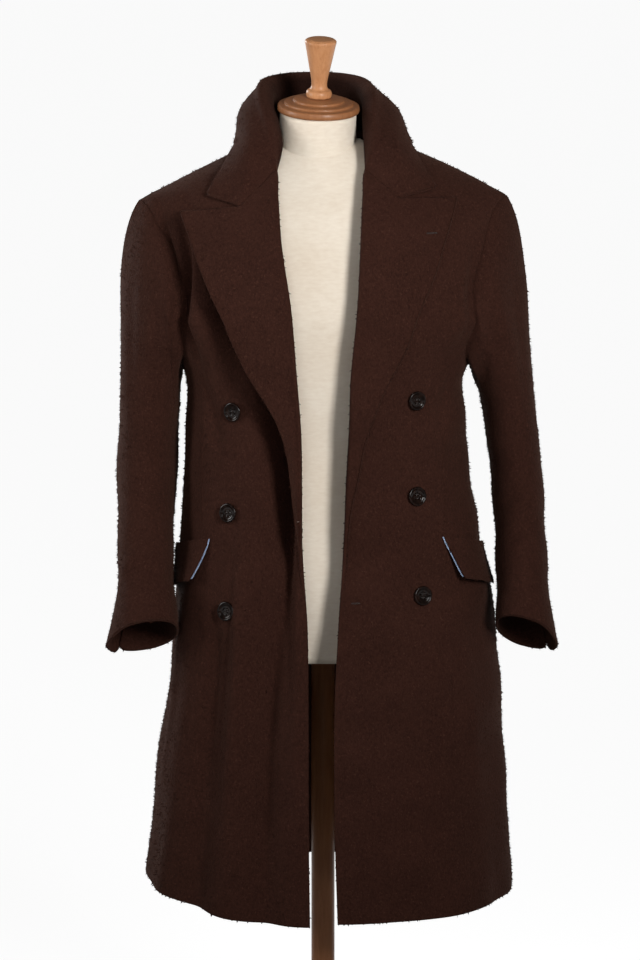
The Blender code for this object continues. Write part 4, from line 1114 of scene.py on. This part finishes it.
for side in SIDES:
    points, inward = sleeve_grid(side)
    count = points.shape[1]
    lengths = np.linalg.norm(np.diff(points[:, SEAM_AT_BACK], axis=0), axis=1)
    to_cuff = np.concatenate((np.cumsum(lengths[::-1])[::-1], (0,)))
    vent = np.clip(1 - to_cuff / VENT, 0, 1)[:, None]

    top_columns = np.arange(SEAM_AT_BACK - count, SEAM_AT_FRONT + 1)
    fade = np.clip(TAB_FULL * (1 - np.arange(len(top_columns)) / TAB_COLUMNS), 0, 1)
    lap = VENT_LAP[side] * np.clip((vent - VENT_LAP_FROM[0]) / (VENT_LAP_FROM[1] - VENT_LAP_FROM[0]), 0, 1)
    along = top_columns - lap * fade
    before = np.floor(along).astype(int)
    share = (along - before)[..., None]
    ring = np.arange(len(points))[:, None]
    top, top_inward = (
        grid[ring, before] * (1 - share) + grid[ring, before + 1] * share for grid in (points, inward)
    )
    top -= top_inward * (VENT_FLARE[side] * vent**VENT_CURVE * fade**TAB_CURVE)[..., None]
    top += unit(top[-1] - top[-2]) * (TAB_DROP * vent**TAB_DROP_CURVE * fade)[..., None]
    steps = corner_steps(top[:, ::-1], -1)
    top, top_inward = (
        round_corner(grid[:, ::-1], False, TAB_ROUNDING, steps)[:, ::-1] for grid in (top, top_inward)
    )
    sewn = np.zeros(top.shape[:2], bool)
    sewn[0] = sewn[:-1, -1] = sewn[to_cuff > VENT, 0] = True
    wool_piece(f"sleeve_top_{side}", top, top_inward, sewn)

    under_columns = np.arange(SEAM_AT_FRONT, SEAM_AT_BACK + 1)
    under, under_inward = points[:, under_columns].copy(), inward[:, under_columns]
    fade = np.clip(1 - np.arange(len(under_columns))[::-1] / TAB_COLUMNS, 0, 1)
    flare = VENT_FLARE[side] * VENT_FLARE_UNDER * vent**VENT_CURVE_UNDER * fade**TAB_CURVE
    under -= under_inward * flare[..., None]
    steps = corner_steps(under, -1)
    under, under_inward = (round_corner(grid, False, VENT_ROUNDING, steps) for grid in (under, under_inward))
    sewn = np.zeros(under.shape[:2], bool)
    sewn[0] = sewn[:-1, 0] = sewn[to_cuff > VENT, -1] = True
    wool_piece(f"sleeve_under_{side}", under, under_inward, sewn)


# The lapels: the fronts' upper edges, rolled outwards along a soft line from the break and laid back over the
# chest, each with a wide peak. The wearer's right lapel stands a little off the chest.
ROLL_ARC = np.radians(np.linspace(-90, 90, 17))
LEAF_COLUMNS = 72
LAPEL_STEPS = 132
LAPEL_FINER_AT_TOP = 1.35
TAIL_OVERLAP = 0.006
TAIL_WIDTH = 0.0008
LAPEL_THICKNESS = 0.85
PEAK_ROUNDING = 0.008
LAPEL_EDGE = {
    "right": table(
        "height reach",
        (0.962, 0.0330), (1.003, 0.0365), (1.048, 0.0405), (1.090, 0.0450), (1.134, 0.0562),
        (1.165, 0.0708), (1.196, 0.0884), (1.260, 0.1218), (1.301, 0.1418), (1.339, 0.1585),
        (1.373, 0.1720), (1.402, 0.1842),
    ),
    "left": table(
        "height reach",
        (0.962, 0.0330), (0.986, 0.0345), (1.017, 0.0380), (1.048, 0.0450), (1.110, 0.0570),
        (1.136, 0.0650), (1.170, 0.0782), (1.222, 0.1049), (1.289, 0.1304), (1.331, 0.1480),
        (1.380, 0.1630), (1.422, 0.1760),
    ),
}
NOTCH = {"right": (0.1075, 1.4134), "left": (0.0993, 1.4245)}
NOTCH_SHARE = 3 / 8
NOTCH_SHARPNESS = 6
LEAF_CLEAR = 0.0012
LEAF_LIFT = {"right": 0.025, "left": 0.002}
LIFT_LOW = 0.66
PEAK_LIFT = {"right": 0.008, "left": 0.003}
WELT = 0.0011
WELT_WIDTH = 0.0042
WELT_FADE = 0.3
PEAK_CURVE = 4


def lapel_grid(side, heights, arc, w):
    """The lapel's outer points and the ways into its wall: round the roll, then back over the chest.

    heights are the rows along the roll, arc the angles round it, and w the shares of the leaf's width. The
    top rows are drawn down to the notch as a tent, and below the break the leaf runs out along the edge.
    """
    heights = np.asarray(heights)[:, None]
    bottom, top = way_height(side, BREAK_WAY), way_height(side, GORGE_WAY)
    share = np.clip((heights - bottom) / (top - bottom), 0, 1)
    tail = np.clip((bottom - heights) / ROLL_TAIL, 0, 1)
    reach, radius = roll_reach(side, heights), roll_radius(side, heights)
    arc_out = radius - CLOTH + radius * np.sin(arc)
    arc_points = body_at(side, reach - radius * np.cos(arc), heights + 0 * arc, arc_out, creased=False)
    upright = body_normal(side, *turn_and_way(side, reach, heights))
    sideways = unit(body_at(side, reach + ROLL, heights) - body_at(side, reach, heights))
    arc_inward = sideways * np.cos(arc)[:, None] - upright * np.sin(arc)[:, None]

    edge = LAPEL_EDGE[side]
    edge_height = edge["height"][0] + share * (edge["height"][-1] - edge["height"][0])
    edge_reach = smooth(edge_height, edge["height"], edge["reach"])
    edge_reach = edge_reach + (reach + TAIL_WIDTH - edge_reach) * tail
    edge_height = edge_height + np.minimum(heights - bottom, 0)
    leaf_reach = reach + (edge_reach - reach) * w
    leaf_height = heights + (edge_height - heights) * w
    tent = np.minimum(w / NOTCH_SHARE, (1 - w) / (1 - NOTCH_SHARE)) * share**NOTCH_SHARPNESS
    top_reach = roll_reach(side, top)
    notch_reach = top_reach + (edge["reach"][-1] - top_reach) * NOTCH_SHARE
    notch_height = top + (edge["height"][-1] - top) * NOTCH_SHARE
    leaf_reach = leaf_reach + (NOTCH[side][0] - notch_reach) * tent
    leaf_height = leaf_height + (NOTCH[side][1] - notch_height) * tent
    rest = (LAPEL_THICKNESS * radius + LEAF_CLEAR) * (1 - tail)
    lift = (LEAF_LIFT[side] * np.sin(math.pi * share**LIFT_LOW) + PEAK_LIFT[side] * share**PEAK_CURVE) * w**2
    from_edge = (1 - w) * np.abs(edge_reach - reach)
    welt = WELT * np.exp(-((from_edge / WELT_WIDTH) ** 2)) * (1 - tail) * share**WELT_FADE
    out = rest + (2 * radius - CLOTH - rest) * (1 - w) ** 2 + lift + welt
    turn, way = turn_and_way(side, leaf_reach, leaf_height)
    points = np.concatenate((arc_points, body(side, turn, way, out, creased=False)), axis=1)
    return points, np.concatenate((arc_inward, -body_normal(side, turn, way)), axis=1)


lapels = {}
for side in SIDES:
    low, high = way_height(side, BREAK_WAY) - ROLL_TAIL - TAIL_OVERLAP, way_height(side, GORGE_WAY)
    rows = high - (high - low) * np.linspace(1, 0, LAPEL_STEPS + 1) ** LAPEL_FINER_AT_TOP
    leaf = np.linspace(0, 1, LEAF_COLUMNS + 1)[1:]
    outer, inward = lapel_grid(side, rows, ROLL_ARC, leaf)
    steps = corner_steps(outer, -1)
    outer, inward = (round_corner(grid, False, PEAK_ROUNDING, steps) for grid in (outer, inward))
    lapels[side] = outer, inward
    sewn = np.zeros(outer.shape[:2], bool)
    sewn[:, 0] = sewn[-1, : len(ROLL_ARC) + round(LEAF_COLUMNS * NOTCH_SHARE) - 2] = True
    thickness = LAPEL_THICKNESS * roll_radius(side, rows)[:, None]
    wool_piece(f"lapel_{side}", outer, inward, sewn, thickness)


# The collar: a high stand sewn to the neckline, a soft roll and a wide fall in one bent piece of the same
# wool, joined to the lapels along the gorge and free from the notch out to its tips.
COLLAR = table(
    "seam_x seam_y seam_z crest_x crest_y crest_z middle_x middle_y middle_z edge_x edge_y edge_z",
    (0.0680, -0.060, 1.477, 0.0655, -0.068, 1.505, 0.099, -0.082, 1.486, 0.137, -0.052, 1.464),
    (0.0740, -0.030, 1.493, 0.0690, -0.038, 1.535, 0.101, -0.040, 1.517, 0.121, -0.016, 1.4890),
    (0.0790, 0.004, 1.499, 0.0730, 0.002, 1.559, 0.106, 0.004, 1.531, 0.120, 0.016, 1.4905),
    (0.0700, 0.042, 1.501, 0.0670, 0.046, 1.573, 0.103, 0.058, 1.535, 0.110, 0.074, 1.486),
    (0.0420, 0.068, 1.502, 0.0400, 0.080, 1.5785, 0.062, 0.104, 1.540, 0.068, 0.116, 1.482),
    (0.0000, 0.076, 1.502, 0.0000, 0.094, 1.5795, 0.000, 0.117, 1.541, 0.000, 0.126, 1.480),
)
COLLAR_TIP = {"right": (0.1540, 1.4235), "left": (0.1500, 1.4325)}
COLLAR_TIP_OUT = 0.009
COLLAR_LEAN = -0.011
COLLAR_LEAN_FROM = 1.500
COLLAR_LEAN_SPAN = 0.070
COLLAR_LEAN_MOST = 1.2
COLLAR_ROLL = 0.0125
COLLAR_ROLL_DROP = 0.75
STAND_COLUMNS = 3
GORGE_ARC = np.radians((-90.0, -45.0, 0.0, 45.0, 90.0))
NOTCH_COLUMNS = 3
TIP_COLUMNS = 4
GORGE_GAP = 0.0004
COLLAR_ROWS_A_SIDE = 76
COLLAR_COLUMNS = 104
COLLAR_FINER_AT_TIPS = 0.55
COLLAR_THICKNESS = 0.0042
TIP_ROUNDING = 0.009
STAND_INSIDE_TO, PAINTED_SHADE_FADE = 3.7, 0.8


def gorge(side):
    """The collar's first section: along the lapel's top edge to the notch, then free out to its tip."""
    leaf = np.linspace(0, NOTCH_SHARE, NOTCH_COLUMNS + 1)[1:]
    points, inward = (grid[0] for grid in lapel_grid(side, [way_height(side, GORGE_WAY)], GORGE_ARC, leaf))
    tip = body_at(side, *COLLAR_TIP[side], COLLAR_TIP_OUT)
    stand = np.linspace(0, 1, STAND_COLUMNS + 1)[:-1, None]
    free = np.linspace(0, 1, TIP_COLUMNS + 1)[1:, None]
    start = points[0] + (points[1] - points[0]) * stand
    section = np.concatenate((start, points[1:], points[-1] + (tip - points[-1]) * free))
    start_into = inward[0] + (inward[1] - inward[0]) * stand
    into = np.concatenate((start_into, inward[1:], np.repeat(inward[-1:], TIP_COLUMNS, axis=0)))
    return section + np.array((0, 0, GORGE_GAP)), into


def collar_sections(side, columns):
    """The collar's sections from the gorge to the centre back, each a curve through its guide points."""
    first, _ = gorge(side)
    marks = np.cumsum((0, STAND_COLUMNS, 1, 2, NOTCH_COLUMNS, TIP_COLUMNS)).astype(float)
    sections = [smooth(columns, np.arange(len(first)), first)]
    for row in zip(*COLLAR.values()):
        seam, crest, middle, edge = np.reshape(row, (4, 3))
        outward = unit(middle[:2] - seam[:2]) * COLLAR_ROLL
        drop = COLLAR_ROLL_DROP * COLLAR_ROLL
        guides = np.stack((seam, crest + (*-outward, -drop), crest, crest + (*outward, -drop), middle, edge))
        lean = np.clip((guides[:, 2] - COLLAR_LEAN_FROM) / COLLAR_LEAN_SPAN, 0, COLLAR_LEAN_MOST)
        guides[:, 0] = guides[:, 0] * SIDES[side] + COLLAR_LEAN * lean
        sections.append(smooth(columns, marks, guides))
    return np.array(sections)


last_column = STAND_COLUMNS + 3 + NOTCH_COLUMNS + TIP_COLUMNS
collar_columns = np.linspace(0, last_column, COLLAR_COLUMNS + 1)
sections = np.concatenate(
    (collar_sections("right", collar_columns), collar_sections("left", collar_columns)[-2::-1])
)
stations = np.arange(len(sections))
even = np.linspace(0, 1, 2 * COLLAR_ROWS_A_SIDE + 1)
collar_rows = stations[-1] * (even - COLLAR_FINER_AT_TIPS * np.sin(2 * math.pi * even) / (2 * math.pi))
collar = smooth(collar_rows, stations, sections)
collar_normals = unit(np.cross(np.gradient(collar, axis=0), np.gradient(collar, axis=1)))
collar_inward = collar_normals if collar_normals[COLLAR_ROWS_A_SIDE, -1, 1] < 0 else -collar_normals
for row, side in ((0, "right"), (-1, "left")):
    collar_inward[row] = unit(smooth(collar_columns, np.arange(last_column + 1), gorge(side)[1]))
for row in (0, -1):
    steps = corner_steps(collar, row)
    collar, collar_inward = (
        round_corner(grid, row == 0, TIP_ROUNDING, steps) for grid in (collar, collar_inward)
    )
sewn = np.zeros(collar.shape[:2], bool)
sewn[:, 0] = True
sewn[[0, -1], : np.searchsorted(collar_columns, last_column - TIP_COLUMNS)] = True
stand_columns = int(np.searchsorted(collar_columns, STAND_INSIDE_TO))
collar_piece = wool_piece(
    "collar", collar, collar_inward, sewn, COLLAR_THICKNESS, stand_columns
)
# Painted shade: a point attribute darkens the wool on the inside of the stand, fading out towards the roll.
painted_shade = np.zeros(len(collar_piece.data.vertices))
across_stand = np.clip((STAND_INSIDE_TO - collar_columns) / PAINTED_SHADE_FADE, 0, 1)
painted_shade[: collar[..., 0].size] = np.tile(across_stand, len(collar))
collar_piece.data.attributes.new("painted_shade", "FLOAT", "POINT").data.foreach_set("value", painted_shade)


# The hip pockets' flaps: slanted wool flaps sewn into the fronts along their upper edge, standing off towards
# the front corner, with a smooth pale blue lining that peeks out along the front edge.
FLAP_TOP = {"right": (0.970, 0.945), "left": (0.974, 0.948)}
FLAP_DEPTH = 0.058
FLAP_ENDS = {"right": (50.0, 92.0), "left": (46.4, 90.0)}
FLAP_RAKE = 4.6
FLAP_CURVE = 1.2
FLAP_STAND = 0.014
FLAP_SWELL = 1.5
FLAP_CLEAR = 0.0009
FLAP_COLUMNS = 44
FLAP_ROWS = 20
LINING = 0.001
LINING_PEEK = 0.32
LINING_LENGTH = 0.95
LINING_BLUES = (0.180, 0.260, 0.420, 1), (0.360, 0.450, 0.620, 1)
LINING_RIBS = 260.0


def smooth_lining():
    """A fine twill with a soft shine: close slanting ribs and faint crumples."""
    material, place, shader = finish("smooth_lining", Sheen_Weight=0.15, Specular_IOR_Level=0.6)
    crumples = place.noise(0.012, detail=3.0)
    slanting = {"bands_direction": "DIAGONAL"}
    ribs = place.node("ShaderNodeTexWave", slanting, {"Vector": place, "Scale": LINING_RIBS})
    tone = (crumples * 0.7 + ribs * 0.3).step(0.25, 0.75)
    feed(shader, "Base Color", tone.mix(*LINING_BLUES))
    feed(shader, "Roughness", crumples * 0.2 + 0.32)
    raise_bump(shader, ribs, 0.0002, 0.3)
    return material


def flap_grid(side, clear, thickness, peek=0.0, length=1.0):
    """A flap on the skirt: the panel's own points, moved out, and standing off towards its lower edge."""
    s, v = np.linspace(0, 1, FLAP_COLUMNS + 1), np.linspace(0, length, FLAP_ROWS + 1)[:, None]
    front, back = FLAP_ENDS[side]
    start = front + FLAP_RAKE * v**FLAP_CURVE - peek
    turns = np.radians(start + (back - start) * s)
    front_top, back_top = FLAP_TOP[side]
    heights = front_top + (back_top - front_top) * s - FLAP_DEPTH * v
    hem = hem_height(side, turns)
    ways = (heights - hem) / (CHEST - hem)
    stand = FLAP_STAND * (v * (1 - s)) ** FLAP_SWELL
    return body(side, turns, ways, clear + thickness + stand), -body_normal(side, turns, ways)


blue_lining = smooth_lining()
for side in SIDES:
    grid, inward = flap_grid(side, FLAP_CLEAR, LINING, LINING_PEEK, LINING_LENGTH)
    node = f"flap_lining_{side}"
    thickness = np.full(grid.shape[:2], LINING)
    piece, _ = cloth_shell(node, grid, inward, thickness, thickness / 2, blue_lining, "pale_blue_lining")
    declare_cloth(grid)
    grid, inward = flap_grid(side, FLAP_CLEAR + LINING + SEAM, CLOTH)
    sewn = np.zeros(grid.shape[:2], bool)
    sewn[0] = True
    wool_piece(f"pocket_flap_{side}", grid, inward, sewn)


# The buttons: three on each front, of dark polished horn, with a raised rim and four holes, each sewn on with
# two bars of dark thread that go down through the holes.
BUTTON_RADIUS = 0.013
BUTTON_HEIGHT = 0.0050
BUTTON_SEGMENTS = 72
BUTTON_CURVE_STEPS = 3
BUTTONS = {
    "right": table(
        "reach height clear",
        (0.1206, 1.143, 0.0009),
        (0.1257, 1.008, 0.0007),
        (0.1298, 0.877, 0.0009),
    ),
    "left": table(
        "reach height clear",
        (0.1232, 1.159, 0.0009),
        (0.1232, 1.031, 0.0008),
        (0.1334, 0.899, 0.0007),
    ),
}
BUTTON_PROFILE = (
    (0.02, 0.0), (0.30, 0.0), (0.55, 0.08), (0.94, 0.42), (1.0, 0.66), (0.985, 0.84),
    (0.94, 0.96), (0.88, 1.0), (0.81, 0.97), (0.74, 0.84), (0.66, 0.70), (0.56, 0.645),
    (0.44, 0.635), (0.34, 0.635), (0.27, 0.635), (0.20, 0.635), (0.12, 0.635), (0.02, 0.635),
)
HOLE_REACH = 0.27
HOLE_RADIUS = 0.085
HOLE_DEPTH = 0.45
HOLE_SHARPNESS = 6
THREAD_RADIUS = 0.00055
THREAD_RISE = 0.0007
THREAD_STEPS = 15
THREAD_SINK, THREAD_BEND = 0.6, 9
THREAD_TWIST = 900.0
TUBE_SIDES = 8
TUBE_ASIDE = np.array((0.31, 0.17, 0.94))
HORN_BROWNS = (0.0040, 0.0018, 0.0012, 1), (0.0140, 0.0060, 0.0038, 1)
DARK_THREAD = (0.006, 0.003, 0.002, 1), (0.018, 0.008, 0.005, 1)


def polished_horn():
    """Near-black brown with smoky streaks, polished to a gloss."""
    material, place, shader = finish("polished_horn", Specular_IOR_Level=0.22)
    streaks = place.noise(0.004, stretch=(1, 1, 3), detail=4.0)
    smoke = streaks.step(0.42, 0.72)
    feed(shader, "Base Color", smoke.mix(*HORN_BROWNS))
    feed(shader, "Roughness", streaks * 0.10 + 0.09)
    return material


def sewing_thread(name, shade, light):
    """Waxed thread with a fine twist, in two tones."""
    material, place, shader = finish(name, Sheen_Weight=0.08)
    slanting = {"bands_direction": "DIAGONAL"}
    twist = place.node("ShaderNodeTexWave", slanting, {"Vector": place, "Scale": THREAD_TWIST})
    feed(shader, "Base Color", twist.mix(shade, light))
    feed(shader, "Roughness", twist * 0.2 + 0.6)
    raise_bump(shader, twist, 0.0001, 0.4)
    return material


def button_rings():
    """A lathe profile with four holes, each a steep-sided well in the face."""
    profile = np.array(BUTTON_PROFILE)
    spans = np.arange(len(profile))
    fine = np.linspace(0, spans[-1], spans[-1] * BUTTON_CURVE_STEPS + 1)
    radius, height = smooth(fine, spans, profile).T[..., None]
    angles = np.arange(BUTTON_SEGMENTS) * 2 * math.pi / BUTTON_SEGMENTS
    across, away = radius * np.cos(angles), radius * np.sin(angles)
    on_face = (fine > spans[-1] / 2)[:, None]
    nearest = np.hypot(np.abs(across) - HOLE_REACH / math.sqrt(2), np.abs(away) - HOLE_REACH / math.sqrt(2))
    well = HOLE_DEPTH / (1 + (nearest / HOLE_RADIUS) ** HOLE_SHARPNESS)
    height = height - well * on_face
    return np.stack((across * BUTTON_RADIUS, away * BUTTON_RADIUS, height * BUTTON_HEIGHT), axis=-1)


def tube(path, heading, radius, aside=TUBE_ASIDE):
    """Rings of a round tube carried along a path of points, square to its heading, the first point aside."""
    first = unit(np.cross(heading, aside))
    second = np.cross(heading, first)
    angles = np.arange(TUBE_SIDES)[None, :, None] * 2 * math.pi / TUBE_SIDES
    return path[:, None] + radius * (first[:, None] * np.cos(angles) + second[:, None] * np.sin(angles))


def open_tube(path, radius):
    """A tube along a path with two ends, its heading from the slope of the path."""
    return tube(path, unit(np.gradient(path, axis=0)), radius)


def thread_bars():
    """Two bars of thread, each an arch from hole to hole with its ends down in the holes."""
    at = HOLE_REACH / math.sqrt(2) * BUTTON_RADIUS
    face = BUTTON_PROFILE[-1][1] * BUTTON_HEIGHT
    t = np.linspace(-1, 1, THREAD_STEPS)
    bars = []
    for beside in (-1, 1):
        sink = HOLE_DEPTH * BUTTON_HEIGHT * THREAD_SINK * np.abs(t) ** THREAD_BEND
        arch = face + THREAD_RISE * (1 - t**2) - sink
        bars.append(open_tube(np.stack((at * t, beside * at + 0 * t, arch), axis=-1), THREAD_RADIUS))
    return bars


def joined(parts):
    """Points and faces of several stacks of rings as one mesh."""
    points = np.concatenate([rings.reshape(-1, 3) for rings in parts])
    faces, start = [], 0
    for rings in parts:
        faces.extend([[corner + start for corner in face] for face in ring_faces(rings)])
        start += rings.shape[0] * rings.shape[1]
    return points, faces


horn = polished_horn()
thread = sewing_thread("dark_thread", *DARK_THREAD)
for side in SIDES:
    for row, (reach, height, clear) in enumerate(zip(*BUTTONS[side].values()), start=1):
        turn, way = turn_and_way(side, reach, height)
        facing = Vector(body_normal(side, turn, way)).to_track_quat("Z", "Y")
        turning, moving = np.array(facing.to_matrix()).T, body(side, turn, way, clear)
        rings = button_rings() @ turning + moving
        faces = ring_faces(rings)
        put_piece(f"horn_button_{side}_{row}", rings, faces, horn, "dark_horn", f"button_{side}_{row}")
        points, faces = joined(thread_bars())
        put_piece(f"thread_{side}_{row}", points @ turning + moving, faces, thread, "brown_wool")


# Small sewing: a buttonhole worked in the wearer's left lapel and one in the left front, the barred end of
# one at the right lapel's edge, and on each front a dart and a pocket seam that show as faint ridges.
HOLE_STITCHES = 34
HOLE_CORD = 0.00045
HOLE_HALF_WIDTH = 0.0006
HOLE_STITCH_STEPS = 6
HOLE_END, HOLE_SIDE = 0.35, 0.8
HOLE_SWELL = 0.22
LAPEL_HOLE = (0.1428, 1.381, 0.015)
FRONT_HOLE = (0.0430, 0.893, 0.011)
BAR = (0.0345, 1.002, 0.0052)
BAR_RADIUS = 0.0005
BAR_STEPS = 9
PALE_THREAD = (0.160, 0.110, 0.090, 1), (0.300, 0.230, 0.200, 1)
RIDGE_RADIUS = 0.0007
RIDGE_STEPS = 49
RIDGE_FADE = 0.3
DART = ((0.1605, 0.1630), (1.121, 0.981))
POCKET_SEAM = ((0.1660, 0.2000), (0.994, 0.979))


def worked_hole(middle, sideways, upward, length):
    """A ring of cord round a slit: a long oval path whose cord swells at each stitch."""
    angles = np.linspace(0, 2 * math.pi, HOLE_STITCHES * HOLE_STITCH_STEPS, endpoint=False)
    along = power(np.cos(angles), HOLE_END) * length / 2
    across = power(np.sin(angles), HOLE_SIDE) * HOLE_HALF_WIDTH
    path = middle + along[:, None] * sideways + across[:, None] * upward
    heading = unit(np.roll(path, -1, axis=0) - np.roll(path, 1, axis=0))
    swell = HOLE_CORD * (1 + HOLE_SWELL * np.sin(angles * HOLE_STITCHES))[:, None, None]
    rings = tube(path, heading, swell, np.cross(sideways, upward))
    index = np.arange(len(rings) * TUBE_SIDES).reshape(-1, TUBE_SIDES)
    ahead, beside = np.roll(index, -1, axis=0), np.roll(index, -1, axis=1)
    both = np.roll(ahead, -1, axis=1)
    return rings, np.stack((index, beside, both, ahead), axis=-1).reshape(-1, 4).tolist()


def directions(out):
    """Sideways and upward along a surface that faces out."""
    sideways = unit(np.cross(np.array((0.0, 0.0, 1.0)), out))
    return sideways, np.cross(out, sideways)


def lapel_spot(side, reach, height):
    """The point of a lapel's outside nearest to a reach and height, and the way it faces."""
    points, inward = lapels[side]
    gap = (np.abs(points[..., 0]) - reach) ** 2 + (points[..., 2] - height) ** 2
    at = np.unravel_index(np.argmin(np.where(inward[..., 1] < 0, math.inf, gap)), gap.shape)
    return points[at], -inward[at]


spot, out = lapel_spot("left", *LAPEL_HOLE[:2])
put_piece("buttonhole_lapel", *worked_hole(spot, *directions(out), LAPEL_HOLE[2]), thread, "brown_wool")
turn, way = turn_and_way("left", *FRONT_HOLE[:2])
spot, out = body("left", turn, way), body_normal("left", turn, way)
put_piece("buttonhole_front", *worked_hole(spot, *directions(out), FRONT_HOLE[2]), thread, "brown_wool")

pale_thread = sewing_thread("pale_thread", *PALE_THREAD)
spot, out = lapel_spot("right", *BAR[:2])
bar = spot + np.linspace(-0.5, 0.5, BAR_STEPS)[:, None] * BAR[2] * directions(out)[0]
rings = open_tube(bar, BAR_RADIUS)
put_piece("buttonhole_bar", rings, ring_faces(rings), pale_thread, "brown_wool")

for side in SIDES:
    ridges = []
    for reaches, heights in (DART, POCKET_SEAM):
        share = np.linspace(0, 1, RIDGE_STEPS)
        along = [first + (last - first) * share for first, last in (reaches, heights)]
        radius = RIDGE_RADIUS * np.sin(math.pi * share)[:, None, None] ** RIDGE_FADE
        ridges.append(open_tube(body_at(side, *along), radius))
    put_piece(f"seam_ridges_{side}", *joined(ridges), wool, "brown_wool")
